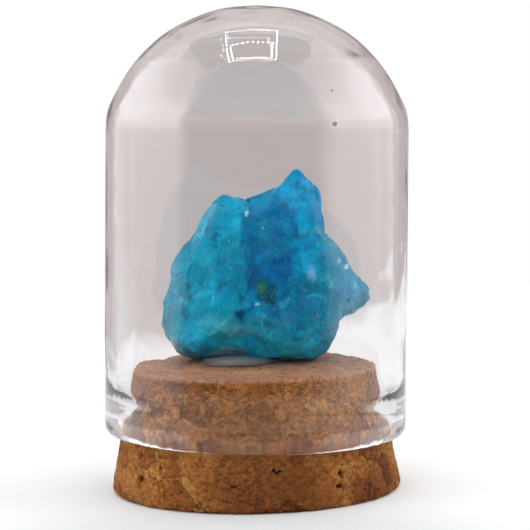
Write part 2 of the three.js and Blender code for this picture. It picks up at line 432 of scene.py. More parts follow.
@dataclass(frozen=True)
class PressedCork:
    """Cork granules pressed with binder and sanded: close red-brown tones, growth rings, thin curved seams.

    Sizes and heights are in mm. seam is the seams' width as a share of a granule. Light is painted into the
    side: it is painted darker below the dome's foot and brighter above it, under the dome, to make up for the
    light that the glass holds back, with two heights where one turns into the other. The pale top is partly
    the sanded face and partly painted top light, and painted shade darkens the side in front and on the
    right.
    """

    granule: float = 3.4
    flatten: float = 1.5
    warp: float = 1.6
    warp_size: float = 3.2
    chip: float = 1.2
    chip_cluster: float = 4.0
    chip_share: float = 0.6
    ring_hill: float = 3.0
    rings: float = 11.0
    ring_apart: float = 30.0
    fleck: float = 0.62
    fleck_stretch: float = 1.5
    seam: float = 0.035
    seam_gap: float = 2.0
    seam_share: float = 0.75
    grit: float = 0.4
    grit_depth: float = 0.16
    tones: tuple[tuple[float, str], ...] = (
        (0.0, "#70401C"), (0.2, "#915A2A"), (0.4, "#A86C35"), (0.55, "#854A22"),
        (0.7, "#AE763E"), (0.85, "#9A5628"), (1.0, "#BC8848"),
    )
    # Factors on the side's colour: painted shade below the dome's foot, and painted light under the dome.
    shade_and_wear: float = 0.88
    lit_and_fresh: float = 1.43
    painted_light_z: tuple[float, float] = (6.4, 8.0)
    rim_z: tuple[float, float] = (14.8, 15.15)
    # The top's paler tone is partly the sanded face and partly painted top light.
    top_tone: str = "#EAAA8B"
    top_share: float = 0.75
    top_smooth: float = 0.7
    # The dark brown of the painted shade on the plug's front and right, and how much of it is laid on.
    painted_shade: str = "#4E230D"
    painted_shade_share: float = 0.6
    binder: str = "#40200F"
    pit: str = "#2A0F0C"

    def cells(self, tree: bpy.types.NodeTree, position: Any) -> tuple[Any, Any]:
        """The granules, the same in a shader as in Geometry Nodes.

        Args:
            tree: The tree that gets the nodes.
            position: The point's place on the sanded plug, in metres.

        Returns:
            Each granule's own random colour, and how far the point is from the nearest seam.
        """
        moved = shaken(tree, position, self.warp_size, self.warp, detail=3.0, rough=0.5)
        flat = add(tree, "ShaderNodeVectorMath", {0: moved, 1: (1.0, 1.0, self.flatten)},
                   operation="MULTIPLY")
        own = add(tree, "ShaderNodeTexVoronoi", {"Vector": flat, "Scale": every(self.granule)})
        edge = add(tree, "ShaderNodeTexVoronoi", {"Vector": flat, "Scale": every(self.granule)},
                   feature="DISTANCE_TO_EDGE")
        return own.outputs["Color"], edge.outputs["Distance"]

    def ringed(self, tree: bpy.types.NodeTree, place: Any, own: Any, colour: Any) -> Any:
        """Draws growth rings, the contours of low hills that lie differently in each granule.

        Args:
            tree: The material's tree.
            place: The point's place, in metres.
            own: The granule's own random colour.
            colour: What the rings darken.

        Returns:
            The ringed colour.
        """
        aside = add(tree, "ShaderNodeVectorMath", {0: own, "Scale": mm(self.ring_apart)}, operation="SCALE")
        apart = add(tree, "ShaderNodeVectorMath", {0: place, 1: aside})
        hills = add(tree, "ShaderNodeTexNoise",
                    {"Vector": apart, "Scale": every(self.ring_hill), "Detail": 1.0})
        many = add(tree, "ShaderNodeMath", {0: hills, 1: self.rings}, operation="MULTIPLY")
        ring = add(tree, "ShaderNodeMath", {0: many, 1: 1.0}, operation="PINGPONG")
        shade = add(tree, "ShaderNodeValToRGB", {0: ring},
                    stops=[(0.0, 0.6), (0.14, 0.94), (0.8, 1.0), (1.0, 1.12)])
        return add(tree, "ShaderNodeMix", {"Factor": 1.0, "A": colour, "B": shade}, data_type="RGBA",
                   blend_type="MULTIPLY")

    def toned(self, tree: bpy.types.NodeTree, place: Any, own: Any) -> Any:
        """Gives each granule its tone, and lays small chips between the large granules.

        Args:
            tree: The material's tree.
            place: The point's place, in metres.
            own: The granule's own random share.

        Returns:
            The granules' colour.
        """
        tone = add(tree, "ShaderNodeValToRGB", {0: own}, stops=list(self.tones))
        chips = add(tree, "ShaderNodeTexVoronoi", {"Vector": place, "Scale": every(self.chip)})
        chip_split = add(tree, "ShaderNodeSeparateColor", {0: chips.outputs["Color"]})
        chip_tone = add(tree, "ShaderNodeValToRGB", {0: chip_split.outputs["Red"]}, stops=list(self.tones))
        clusters = add(tree, "ShaderNodeTexNoise",
                       {"Vector": place, "Scale": every(self.chip_cluster), "Detail": 2.0})
        where = add(tree, "ShaderNodeMapRange", {0: clusters, **between((0.52, 0.6)), 4: self.chip_share},
                    interpolation_type="SMOOTHSTEP")
        return add(tree, "ShaderNodeMix", {"Factor": where, "A": tone, "B": chip_tone}, data_type="RGBA")

    def material(self) -> bpy.types.Material:
        """Makes the cork's surface.

        Returns:
            The material. It reads the attributes handled and pit.
        """
        material, tree = new_material("sanded_pressed_cork")
        place = add(tree, "ShaderNodeTexCoord").outputs["Object"]
        own, edge = self.cells(tree, place)
        split = add(tree, "ShaderNodeSeparateColor", {0: own})
        body = self.toned(tree, place, split.outputs["Red"])
        # Painted light: the side is painted brighter under the dome, to make up for the light that the glass
        # holds back, and darker below the dome's foot. The sanded top is paler than the side, partly as
        # painted top light, and painted shade darkens the side in front and on the right.
        height = add(tree, "ShaderNodeSeparateXYZ", {0: place}).outputs["Z"]
        clean = add(tree, "ShaderNodeMapRange",
                    {0: height, **between_mm(self.painted_light_z), 3: self.shade_and_wear, 4: self.lit_and_fresh})
        clean = add(tree, "ShaderNodeCombineColor", {0: clean, 1: clean, 2: clean})
        body = add(tree, "ShaderNodeMix", {"Factor": 1.0, "A": body, "B": clean}, data_type="RGBA",
                   blend_type="MULTIPLY")
        # The paler top is partly the sanded face and partly painted top light.
        on_top = add(tree, "ShaderNodeMapRange", {0: height, **between_mm(self.rim_z), 4: self.top_share})
        body = add(tree, "ShaderNodeMix", {"Factor": on_top, "A": body, "B": linear(self.top_tone)},
                   data_type="RGBA")
        # Painted shade: the marked places on the front and right are painted darker.
        painted_shade = add(tree, "ShaderNodeAttribute", attribute_name="painted_shade").outputs["Fac"]
        painted_shade = add(tree, "ShaderNodeMath", {0: painted_shade, 1: self.painted_shade_share}, operation="MULTIPLY")
        body = add(tree, "ShaderNodeMix", {"Factor": painted_shade, "A": body, "B": linear(self.painted_shade)},
                   data_type="RGBA")
        body = self.ringed(tree, place, own, body)
        # Fine cell walls and bark flecks give a leathery grain. Some granules are smooth and some are grainy.
        stretch = add(tree, "ShaderNodeMapping", {"Vector": place, "Scale": (1.0, 1.0, self.fleck_stretch)})
        flecks = add(tree, "ShaderNodeTexNoise",
                     {"Vector": stretch, "Scale": every(self.fleck), "Detail": 6.0, "Roughness": 0.75})
        shade = add(tree, "ShaderNodeValToRGB", {0: flecks}, stops=[(0.35, 0.32), (0.5, 1.0), (0.64, 1.62)])
        grainy = add(tree, "ShaderNodeMapRange", {0: split.outputs["Blue"], **between((0.1, 0.6)), 3: 0.5})
        grained = add(tree, "ShaderNodeMath", {0: on_top, 1: -self.top_smooth, 2: 1.0},
                      operation="MULTIPLY_ADD")
        grained = add(tree, "ShaderNodeMath", {0: grained, 1: grainy}, operation="MULTIPLY")
        shade_and_wear = add(tree, "ShaderNodeMix", {"Factor": grained, "A": body, "B": shade}, data_type="RGBA",
                   blend_type="MULTIPLY")
        # The binder shows as thin dark seams, more in some places than in others.
        seam = add(tree, "ShaderNodeMapRange", {0: edge, **between((0.0, self.seam)), 3: 1.0, 4: 0.0},
                   interpolation_type="SMOOTHSTEP")
        breaks = add(tree, "ShaderNodeTexNoise",
                     {"Vector": place, "Scale": every(self.seam_gap), "Detail": 2.0})
        shown = add(tree, "ShaderNodeMapRange", {0: breaks, **between((0.42, 0.6)), 4: self.seam_share})
        binder = add(tree, "ShaderNodeMath", {0: seam, 1: shown}, operation="MULTIPLY")
        seamed = add(tree, "ShaderNodeMix", {"Factor": binder, "A": shade_and_wear, "B": linear(self.binder)},
                     data_type="RGBA")
        # Painted shade: the open pits are painted nearly black, as the shade inside the sunk hollows.
        hollow = add(tree, "ShaderNodeAttribute", attribute_name="pit").outputs["Fac"]
        pitted = add(tree, "ShaderNodeMix", {"Factor": hollow, "A": seamed, "B": linear(self.pit)},
                     data_type="RGBA")
        grit = add(tree, "ShaderNodeTexNoise", {"Vector": place, "Scale": every(self.grit), "Detail": 4.0})
        bump = add(tree, "ShaderNodeBump", {"Height": grit, "Strength": 0.6, "Distance": mm(self.grit_depth)})
        # Dry cork is matt, with hardly any gloss left by the sanding.
        cork = add(tree, "ShaderNodeBsdfPrincipled", {
            "Base Color": pitted,
            "Roughness": 0.88,
            "Normal": bump,
            "IOR": 1.4,
            "Specular IOR Level": 0.2,
        })
        add(tree, "ShaderNodeOutputMaterial", {"Surface": cork})
        return material


@dataclass(frozen=True)
class Patch:
    """A patch of colour with a soft edge. Centre and half widths in mm, the lean to the right in degrees."""

    colour: str
    centre: Place
    reach: Place
    strength: float = 0.9
    lean: float = 0.0
    edge: float = 0.2


@dataclass(frozen=True)
class Layer:
    """One layer of a broken-up pattern: its cells' size in mm, and how far it swings or how deep it is."""

    size: float
    swing: float


@dataclass(frozen=True)
class Lines:
    """Fine lines between cells of a spacing in mm. They come in as slow noise goes from none to full."""

    colour: str
    spacing: float
    width: float
    none: float
    full: float


@dataclass(frozen=True)
class Sprinkle:
    """Small spots: their spacing in mm, their size as a share of it and the share of places left empty."""

    colour: str
    spacing: float
    size: float
    empty: float


@dataclass(frozen=True)
class BlueOpal:
    """Common blue opal, freshly broken: waxy, a little see-through, deep where thick and milky on ridges.

    Sizes are in mm. fields are the broad colours of the stone's parts, and marks the small ones on them. A
    few of them are painted light: pale fields at the shaded foot, a pale bevel and pale glints.
    """

    base: str = "#2387AB"
    milk: str = "#45A6C0"
    depth: str = "#04648F"
    speck: Sprinkle = Sprinkle("#2B2430", 1.5, 0.09, 0.84)
    # Pale dots painted as glints.
    glint: Sprinkle = Sprinkle("#A9D9E6", 1.2, 0.09, 0.86)
    # Dark hairlines, and pale lines painted along the edges of shell-shaped breaks as highlights where the
    # edges catch the light.
    cracks_and_lit_edges: tuple[Lines, ...] = (
        Lines("#083F58", 1.9, 0.035, 0.56, 0.64),
        Lines("#6DBCD6", 2.7, 0.04, 0.47, 0.3),
    )
    facets: tuple[Layer, ...] = (Layer(2.6, 0.34), Layer(1.1, 0.36), Layer(0.5, 0.3), Layer(0.24, 0.22))
    breaks: tuple[Layer, ...] = (Layer(1.5, 0.34), Layer(0.7, 0.2), Layer(0.3, 0.09))
    crack_gap: float = 2.6
    crack_share: float = 0.65
    # How the edges of the fields and the marks, and of the facets and the cracks, are shaken: wave and reach.
    field_shake: tuple[float, float] = (2.4, 1.7)
    mark_shake: tuple[float, float] = (1.3, 0.8)
    facet_shake: tuple[float, float] = (2.2, 1.1)
    crack_shake: tuple[float, float] = (1.0, 0.45)
    value: float = 1.09
    hue: float = 0.478
    hue_swing: float = 0.012
    saturation: float = 1.14
    cloud: float = 1.7
    cloud_stretch: float = 2.5
    fields: tuple[Patch, ...] = (
        Patch("#3391B2", (-4.2, 0.0, 31.0), (3.6, 7.0, 4.8)),
        Patch("#3A97B2", (-7.4, 0.0, 26.5), (3.4, 8.0, 5.5)),
        Patch("#3F93AD", (-8.0, 0.0, 21.0), (4.0, 8.0, 4.2)),
        Patch("#42A2BE", (-5.0, -3.0, 22.4), (3.4, 5.0, 2.6)),
        Patch("#5AA6BE", (-8.8, 0.5, 17.6), (3.2, 8.0, 1.8)),
        Patch("#146E94", (6.4, -3.0, 21.0), (5.4, 7.0, 5.6)),
        # Painted fill light: this pale field along the foot stands in for light where the foot lies in shade.
        Patch("#46B8E0", (2.6, -1.0, 17.2), (6.6, 6.0, 1.6), 0.9),
        Patch("#1E7C9E", (9.0, -1.2, 20.0), (2.0, 6.0, 4.0), 0.8),
        Patch("#1C92BC", (5.8, 0.0, 28.8), (2.4, 5.0, 2.6), 0.8),
        Patch("#368CA6", (8.6, -1.0, 27.4), (2.2, 4.0, 1.7), 0.8),
        Patch("#0888BA", (6.8, 2.6, 35.6), (3.0, 6.0, 3.6)),
        Patch("#1C8CB0", (13.4, 3.4, 23.8), (3.2, 6.0, 3.4)),
        Patch("#4E8CA4", (9.7, 1.6, 29.2), (1.7, 4.0, 2.0), 0.75),
        # Painted fill light: these three pale fields low on the stone stand in for light at its shaded foot.
        Patch("#3CA0D0", (-1.5, -1.0, 17.6), (3.2, 5.0, 1.2), 0.7),
        Patch("#3AA6C6", (-6.0, -1.0, 19.2), (5.0, 7.0, 2.2), 0.5),
        Patch("#3AA0C0", (2.5, -2.0, 18.2), (7.5, 7.0, 2.4), 0.5),
        Patch("#006C9C", (2.4, 1.0, 31.2), (3.5, 5.0, 3.9), 0.95),
        Patch("#0074A4", (1.9, 0.4, 27.0), (3.5, 4.0, 2.9), 0.95),
    )
    marks: tuple[Patch, ...] = (
        # The hollow: deep wedges, see-through streaks and a paler arc across.
        Patch("#005F92", (3.7, 1.5, 34.2), (1.3, 3.0, 1.2), 0.6, 50.0, 0.4),
        Patch("#006296", (5.6, 0.1, 32.4), (0.55, 3.0, 1.6), 0.6, -6.0, 0.4),
        Patch("#005A8C", (3.4, 1.1, 31.2), (0.7, 3.0, 1.0), 0.6, 0.0, 0.5),
        Patch("#0A86A8", (1.7, 1.1, 31.2), (0.6, 3.0, 1.9), 0.7, 5.0, 0.5),
        Patch("#0C82B0", (4.4, 0.6, 31.2), (0.6, 3.0, 2.2), 0.6, -8.0, 0.5),
        Patch("#0876A0", (0.1, 1.2, 32.8), (0.7, 3.0, 1.6), 0.6, 15.0),
        Patch("#006490", (-0.5, -0.8, 30.6), (0.7, 3.0, 2.3), 0.6, 0.0, 0.4),
        Patch("#1C88B8", (2.3, 1.0, 28.8), (2.3, 3.0, 0.42), 0.75, -14.0),
        Patch("#005A90", (3.7, 0.1, 27.2), (1.9, 3.0, 1.2), 0.65, -12.0, 0.4),
        Patch("#005684", (-0.2, -0.6, 26.2), (1.2, 3.0, 1.4), 0.7, 0.0, 0.3),
        Patch("#035A68", (1.9, -0.8, 24.2), (1.3, 2.5, 1.3), 0.9),
        Patch("#24706A", (1.2, -0.4, 24.9), (0.7, 2.5, 0.9), 0.8),
        Patch("#4A7E66", (1.0, -0.1, 24.6), (0.5, 2.5, 0.8), 0.5, -25.0, 0.5),
        Patch("#6E9068", (0.9, -0.2, 24.7), (0.18, 2.5, 0.3), 0.35, -25.0, 0.5),
        # The left lobe: a pale cap, an edge painted pale as a highlight where it faces the light, a smooth
        # see-through facet, teal stains.
        Patch("#459CBE", (-3.2, 1.6, 34.9), (1.9, 3.5, 0.8), 0.7),
        Patch("#4CA2BC", (-1.7, -0.5, 32.9), (0.5, 3.0, 1.9), 0.7),
        # Painted highlight: the bevel that faces the light.
        Patch("#66B2CA", (-5.4, 3.4, 32.4), (0.8, 3.5, 3.0), 0.8, 30.0),
        Patch("#067B9C", (-4.6, -0.4, 32.0), (0.75, 3.0, 1.3), 0.8, 12.0),
        Patch("#0C86A2", (-2.3, -2.1, 31.2), (0.5, 2.5, 1.0), 0.7, 12.0),
        Patch("#0A86A6", (-2.9, -3.1, 27.2), (1.6, 3.0, 3.8), 0.85, -4.0, 0.2),
        Patch("#3BA0BC", (-5.0, -2.2, 26.4), (0.6, 2.5, 2.3), 0.6, -8.0),
        Patch("#1484A0", (-6.1, -1.2, 26.2), (1.2, 2.5, 1.6), 0.6),
        Patch("#0F7E9A", (-7.9, 0.0, 23.8), (1.0, 2.5, 0.7), 0.6),
        Patch("#66AABE", (-8.8, 0.6, 23.6), (0.16, 3.0, 1.9), 0.75, -48.0),
        Patch("#3892AC", (-5.5, -2.8, 22.1), (0.9, 2.5, 0.9), 0.5),
        Patch("#62A8B8", (-4.6, -3.1, 20.6), (2.6, 2.5, 1.3), 0.6, 0.0, 0.6),
        Patch("#62A6B4", (-1.6, -2.2, 19.8), (2.4, 2.5, 1.0), 0.7, 0.0, 0.5),
        Patch("#065F8A", (-1.6, -2.7, 22.0), (0.75, 2.5, 0.8), 0.9, 20.0, 0.15),
        # Painted fill light: these two paler patches under the lobe stand in for light where the foot lies in
        # shade.
        Patch("#3C8CB6", (-5.9, 0.2, 17.2), (1.4, 3.0, 0.9), 0.9, 0.0, 0.15),
        Patch("#6E95A6", (-3.0, 1.5, 16.9), (2.4, 3.5, 0.9), 0.9),
        Patch("#7CA8BE", (-9.7, 2.0, 18.2), (0.8, 3.0, 0.5), 0.7, -35.0),
        # The peak: an azure block with a lilac scar and pale, wavy edges.
        Patch("#2C9CCA", (6.7, 3.6, 37.4), (0.6, 3.0, 0.35), 0.8),
        Patch("#58A0C8", (5.1, 1.8, 35.3), (0.5, 3.0, 1.6), 0.7, -38.0),
        Patch("#269AC8", (4.4, 3.2, 36.3), (0.9, 3.0, 0.9), 0.6),
        Patch("#34A2CA", (6.4, 0.4, 33.0), (0.5, 3.0, 1.8), 0.65, 8.0),
        Patch("#62A6B8", (8.0, 1.5, 31.7), (0.7, 3.0, 0.6), 0.75),
        Patch("#1C94C6", (8.3, 2.6, 34.2), (0.4, 3.0, 2.0), 0.6, -6.0),
        # The right shoulder and body.
        Patch("#5C94AC", (9.4, 1.4, 29.2), (1.2, 3.0, 0.8), 0.5, 30.0, 0.5),
        Patch("#8C5A60", (9.9, 3.2, 29.9), (0.16, 3.0, 0.6), 0.8, -30.0, 0.15),
        Patch("#7CA6C4", (7.2, -1.8, 26.6), (0.6, 2.5, 0.95), 0.6, -12.0, 0.5),
        Patch("#4CA4C2", (9.0, -1.4, 26.0), (0.9, 2.5, 0.34), 0.65, -25.0, 0.5),
        Patch("#5AA8BE", (9.5, -0.9, 25.3), (0.28, 2.5, 0.6), 0.7),
        Patch("#1F7890", (8.3, -1.2, 25.2), (0.8, 2.5, 0.45), 0.6),
        Patch("#56A8C0", (7.6, -2.4, 23.7), (1.3, 2.5, 0.2), 0.7, 8.0),
        Patch("#12637F", (6.4, -2.8, 24.7), (1.2, 2.5, 0.7), 0.7),
        Patch("#5C9CB8", (3.4, -3.3, 23.1), (0.34, 2.5, 2.6), 0.6, 55.0, 0.4),
        Patch("#5C9CB2", (0.9, -3.4, 21.5), (0.5, 2.5, 0.6), 0.6, 60.0),
        # Painted glints: two short pale strokes.
        Patch("#78C4DE", (1.3, -3.3, 20.4), (0.16, 2.5, 0.8), 0.8, -30.0),
        Patch("#78C4DE", (2.3, -3.5, 19.8), (0.14, 2.5, 0.7), 0.8, 8.0),
        Patch("#2A90B8", (8.4, 1.2, 17.4), (1.6, 4.0, 0.9), 0.7),
        Patch("#6CB2CA", (12.4, 2.4, 24.0), (0.22, 3.0, 1.7), 0.6, 6.0, 0.5),
        Patch("#74B6CE", (11.6, 2.4, 21.8), (0.2, 3.0, 1.1), 0.6, 38.0, 0.5),
        Patch("#387FA4", (14.0, 3.8, 23.6), (0.6, 3.0, 0.7), 0.7),
        # Single spots: dark grains, pale dots painted as glints, and two pink ones.
        Patch("#3A3048", (-7.3, -1.0, 23.5), (0.14, 2.0, 0.34), 0.9),
        Patch("#245064", (-9.1, 1.6, 26.1), (0.12, 2.0, 0.22), 0.8),
        Patch("#1E2C38", (-0.1, 3.8, 35.0), (0.3, 2.0, 0.16), 0.9),
        Patch("#BFDDE8", (-0.4, 1.5, 33.7), (0.24, 2.0, 0.26), 0.9, 0.0, 0.2),
        Patch("#B4D2E6", (0.6, -1.9, 22.9), (0.24, 2.0, 0.16), 0.9),
        Patch("#7FC0D6", (-2.6, -2.3, 30.5), (0.14, 2.0, 0.18), 0.6),
        Patch("#7FC0D6", (-2.4, -3.3, 27.4), (0.14, 2.0, 0.18), 0.6),
        Patch("#8CC8DA", (-4.7, -3.2, 23.9), (0.14, 2.0, 0.17), 0.7),
        Patch("#8CD0E0", (1.8, 1.3, 31.9), (0.14, 2.0, 0.2), 0.8),
        Patch("#D8A0BC", (8.6, -1.8, 23.2), (0.14, 2.0, 0.17), 0.9),
        Patch("#A87894", (7.7, -2.3, 21.3), (0.13, 2.0, 0.15), 0.9),
        Patch("#7CC8BE", (10.5, 1.1, 27.6), (0.35, 2.0, 0.14), 0.8, 40.0),
        Patch("#C4E6F0", (11.5, 2.0, 26.8), (0.14, 2.0, 0.3), 0.8, 25.0),
    )

    def stained(self, tree: bpy.types.NodeTree, place: Any, colour: Any, patches: tuple[Patch, ...]) -> Any:
        """Lays patches over a colour.

        Args:
            tree: The Geometry Nodes tree.
            place: The point's place in metres, shaken by noise.
            colour: What lies under the patches.
            patches: The patches, the lowest first.

        Returns:
            The colour with every patch laid on.
        """
        for patch in patches:
            spot = Spot(patch.centre, patch.reach, patch.lean)
            share = spot.felt(tree, place, patch.edge, patch.strength)
            colour = add(tree, "ShaderNodeMix", {"Factor": share, "A": colour, "B": linear(patch.colour)},
                         data_type="RGBA")
        return colour

    def stain_and_painted_light(self, tree: bpy.types.NodeTree, shape: Any) -> bpy.types.Node:
        """Stores the stone's colour on its points, for the material to read: its own colours, with some
        painted light laid among them.

        Args:
            tree: The Geometry Nodes tree.
            shape: The stone's fine mesh, before it is cut.

        Returns:
            The mesh with its stain.
        """
        here = add(tree, "GeometryNodeInputPosition")
        broad = self.stained(tree, shaken(tree, here, *self.field_shake), linear(self.base), self.fields)
        small = self.stained(tree, shaken(tree, here, *self.mark_shake), broad, self.marks)
        return add(tree, "GeometryNodeStoreNamedAttribute",
                   {"Geometry": shape, "Name": "stain_and_painted_light", "Value": small}, data_type="FLOAT_COLOR")

    def mottled(self, tree: bpy.types.NodeTree, place: Any, colour: Any) -> Any:
        """Breaks a colour into facet-sized patches and vertical streaks, some milky and some deep.

        Args:
            tree: The material's tree.
            place: The point's place in metres, shaken by noise.
            colour: The colour to break up.

        Returns:
            The broken-up colour.
        """
        value, hue = self.value, self.hue
        for facet in self.facets:
            cell = add(tree, "ShaderNodeTexVoronoi",
                       {"Vector": place, "Scale": every(facet.size), "Smoothness": 0.15}, feature="SMOOTH_F1")
            own = add(tree, "ShaderNodeSeparateColor", {0: cell.outputs["Color"]})
            value = add(tree, "ShaderNodeMath", {0: own.outputs["Red"], 1: facet.swing, 2: value},
                        operation="MULTIPLY_ADD")
            hue = add(tree, "ShaderNodeMath", {0: own.outputs["Green"], 1: self.hue_swing, 2: hue},
                      operation="MULTIPLY_ADD")
        broken = add(tree, "ShaderNodeHueSaturation",
                     {"Color": colour, "Value": value, "Hue": hue, "Saturation": self.saturation})
        stretch = add(tree, "ShaderNodeMapping",
                      {"Vector": place, "Scale": (1.0, 1.0, 1.0 / self.cloud_stretch)})
        cloud = add(tree, "ShaderNodeTexNoise",
                    {"Vector": stretch, "Scale": every(self.cloud), "Detail": 5.0, "Roughness": 0.6})
        for ends, most, tone in (((0.54, 0.7), 0.36, self.milk), ((0.45, 0.3), 0.6, self.depth)):
            share = add(tree, "ShaderNodeMapRange", {0: cloud, **between(ends), 4: most})
            broken = add(tree, "ShaderNodeMix", {"Factor": share, "A": broken, "B": linear(tone)},
                         data_type="RGBA")
        return broken

    def cracked_and_edge_lit(self, tree: bpy.types.NodeTree, place: Any, tight: Any, colour: Any) -> Any:
        """Draws the fine lines, each kind only here and there: dark hairlines, and painted highlights along
        break edges.

        Args:
            tree: The material's tree.
            place: The point's place in metres.
            tight: The same place, shaken a little by noise.
            colour: What lies under the lines.

        Returns:
            The colour with the lines on it.
        """
        some = add(tree, "ShaderNodeTexNoise", {"Vector": place, "Scale": every(self.crack_gap)})
        for lines in self.cracks_and_lit_edges:
            edge = add(tree, "ShaderNodeTexVoronoi", {"Vector": tight, "Scale": every(lines.spacing)},
                       feature="DISTANCE_TO_EDGE").outputs["Distance"]
            thin = add(tree, "ShaderNodeMapRange", {0: edge, **between((0.0, lines.width)), 3: 1.0, 4: 0.0})
            here = add(tree, "ShaderNodeMapRange",
                       {0: some, **between((lines.none, lines.full)), 4: self.crack_share})
            share = add(tree, "ShaderNodeMath", {0: thin, 1: here}, operation="MULTIPLY")
            colour = add(tree, "ShaderNodeMix", {"Factor": share, "A": colour, "B": linear(lines.colour)},
                         data_type="RGBA")
        return colour

    def scattered(self, tree: bpy.types.NodeTree, place: Any, colour: Any, spots: Sprinkle) -> Any:
        """Sprinkles spots of one colour.

        Args:
            tree: The material's tree.
            place: The point's place in metres.
            colour: What lies under the spots.
            spots: The spots' colour, spacing and size.

        Returns:
            The colour with the spots on it.
        """
        cell = add(tree, "ShaderNodeTexVoronoi", {"Vector": place, "Scale": every(spots.spacing)})
        own = add(tree, "ShaderNodeSeparateColor", {0: cell.outputs["Color"]})
        near = add(tree, "ShaderNodeMapRange",
                   {0: cell.outputs["Distance"], **between((0.6 * spots.size, spots.size)), 3: 0.85, 4: 0.0})
        chosen = add(tree, "ShaderNodeMath", {0: own.outputs["Blue"], 1: spots.empty},
                     operation="GREATER_THAN")
        share = add(tree, "ShaderNodeMath", {0: near, 1: chosen}, operation="MULTIPLY")
        return add(tree, "ShaderNodeMix", {"Factor": share, "A": colour, "B": linear(spots.colour)},
                   data_type="RGBA")

    def material(self) -> bpy.types.Material:
        """Makes the stone's surface.

        Returns:
            The material. It reads the attributes stain and ridge.
        """
        material, tree = new_material("broken_blue_opal")
        place = add(tree, "ShaderNodeTexCoord").outputs["Object"]
        loose = shaken(tree, place, *self.facet_shake)
        tight = shaken(tree, place, *self.crack_shake)
        stain_and_painted_light = add(tree, "ShaderNodeAttribute", attribute_name="stain_and_painted_light").outputs["Color"]
        colour = self.mottled(tree, loose, stain_and_painted_light)
        ridge = add(tree, "ShaderNodeAttribute", attribute_name="ridge").outputs["Fac"]
        shade_and_wear = add(tree, "ShaderNodeMapRange", {0: ridge, **between((0.6, 1.0)), 4: 0.3})
        colour = add(tree, "ShaderNodeMix", {"Factor": shade_and_wear, "A": colour, "B": linear(self.milk)},
                     data_type="RGBA")
        colour = self.cracked_and_edge_lit(tree, place, tight, colour)
        colour = self.scattered(tree, tight, colour, self.speck)
        # Painted glints: pale dots that stand in for sparkles of light.
        colour = self.scattered(tree, place, colour, self.glint)
        # Opal breaks glossy, with waxier places between.
        gloss = add(tree, "ShaderNodeTexNoise", {"Vector": place, "Scale": every(1.2), "Detail": 3.0})
        rough = add(tree, "ShaderNodeMapRange", {0: gloss, **between((0.35, 0.65)), 3: 0.14, 4: 0.3})
        # Shell-shaped breaks, large and small, catch the light along their edges.
        under: dict[str, Any] = {}
        for layer in self.breaks:
            shell = add(tree, "ShaderNodeTexVoronoi", {"Vector": tight, "Scale": every(layer.size)})
            bump = add(tree, "ShaderNodeBump",
                       {"Height": shell, "Strength": 0.7, "Distance": mm(layer.swing), **under})
            under = {"Normal": bump}
        opal = add(tree, "ShaderNodeBsdfPrincipled", {
            "Base Color": colour,
            "Roughness": rough,
            "IOR": 1.45,
            "Specular IOR Level": 0.1,
            "Subsurface Weight": 0.15,
            "Subsurface Radius": (0.1, 0.7, 1.0),
            "Subsurface Scale": mm(0.4),
            **under,
        })
        add(tree, "ShaderNodeOutputMaterial", {"Surface": opal})
        return material


@dataclass(frozen=True)
class CorkDust:
    """Crumbs and dust rubbed off the plug: dry and matt, red-brown, with a few grains gone grey."""

    lit_and_fresh: str = "#C07840"
    grey: str = "#8B8680"

    def material(self) -> bpy.types.Material:
        """Makes the dust's surface.

        Returns:
            The material. It reads the attribute tone.
        """
        material, tree = new_material("loose_cork_dust")
        tone = add(tree, "ShaderNodeAttribute", attribute_name="tone").outputs["Fac"]
        aged = add(tree, "ShaderNodeMapRange", {0: tone, **between((0.4, 0.9))})
        colour = add(tree, "ShaderNodeMix", {"Factor": aged, "A": linear(self.lit_and_fresh), "B": linear(self.grey)},
                     data_type="RGBA")
        dust = add(tree, "ShaderNodeBsdfPrincipled", {"Base Color": colour, "Roughness": 0.95})
        add(tree, "ShaderNodeOutputMaterial", {"Surface": dust})
        return material


@dataclass(frozen=True)
class SetGlue:
    """Hot-melt glue, set: off-white and satin, letting some light in, with brown shade painted at its foot
    and on its right.

    Sizes are in mm. The foot, where the glue is thin on the cork, is painted brown as a contact shadow, and
    the right side is painted brown as shade.
    """

    body: str = "#D6CAC6"
    # The brown of the painted shade at the foot and on the right.
    thin: str = "#5E3A2C"
    foot_z: tuple[float, float] = (15.32, 15.9)
    right_shade_x: tuple[float, float] = (-3.0, 2.5)
    right_shade_share: float = 0.6
    ripple: float = 1.5
    ripple_depth: float = 0.2

    def material(self) -> bpy.types.Material:
        """Makes the glue's surface.

        Returns:
            The material.
        """
        material, tree = new_material("set_hot_melt_glue")
        place = add(tree, "ShaderNodeTexCoord").outputs["Object"]
        split = add(tree, "ShaderNodeSeparateXYZ", {0: place})
        # Painted contact shadow: the glue's foot turns brown.
        low = add(tree, "ShaderNodeMapRange",
                  {0: split.outputs["Z"], **between_mm(self.foot_z), 3: 1.0, 4: 0.0})
        colour = add(tree, "ShaderNodeMix", {"Factor": low, "A": linear(self.body), "B": linear(self.thin)},
                     data_type="RGBA")
        # Painted shade: the glue's right side is painted brown.
        right_shade = add(tree, "ShaderNodeMapRange",
                   {0: split.outputs["X"], **between_mm(self.right_shade_x), 4: self.right_shade_share})
        colour = add(tree, "ShaderNodeMix", {"Factor": right_shade, "A": colour, "B": linear(self.thin)},
                     data_type="RGBA")
        ripple = add(tree, "ShaderNodeTexNoise",
                     {"Vector": place, "Scale": every(self.ripple), "Detail": 2.0})
        bump = add(tree, "ShaderNodeBump",
                   {"Height": ripple, "Strength": 0.4, "Distance": mm(self.ripple_depth)})
        glue = add(tree, "ShaderNodeBsdfPrincipled", {
            "Base Color": colour,
            "Roughness": 0.42,
            "Subsurface Weight": 0.6,
            "Subsurface Radius": (1.0, 0.8, 0.7),
            "Subsurface Scale": mm(0.8),
            "Normal": bump,
        })
        add(tree, "ShaderNodeOutputMaterial", {"Surface": glue})
        return material


# ---------------------------------------------------------------- pieces


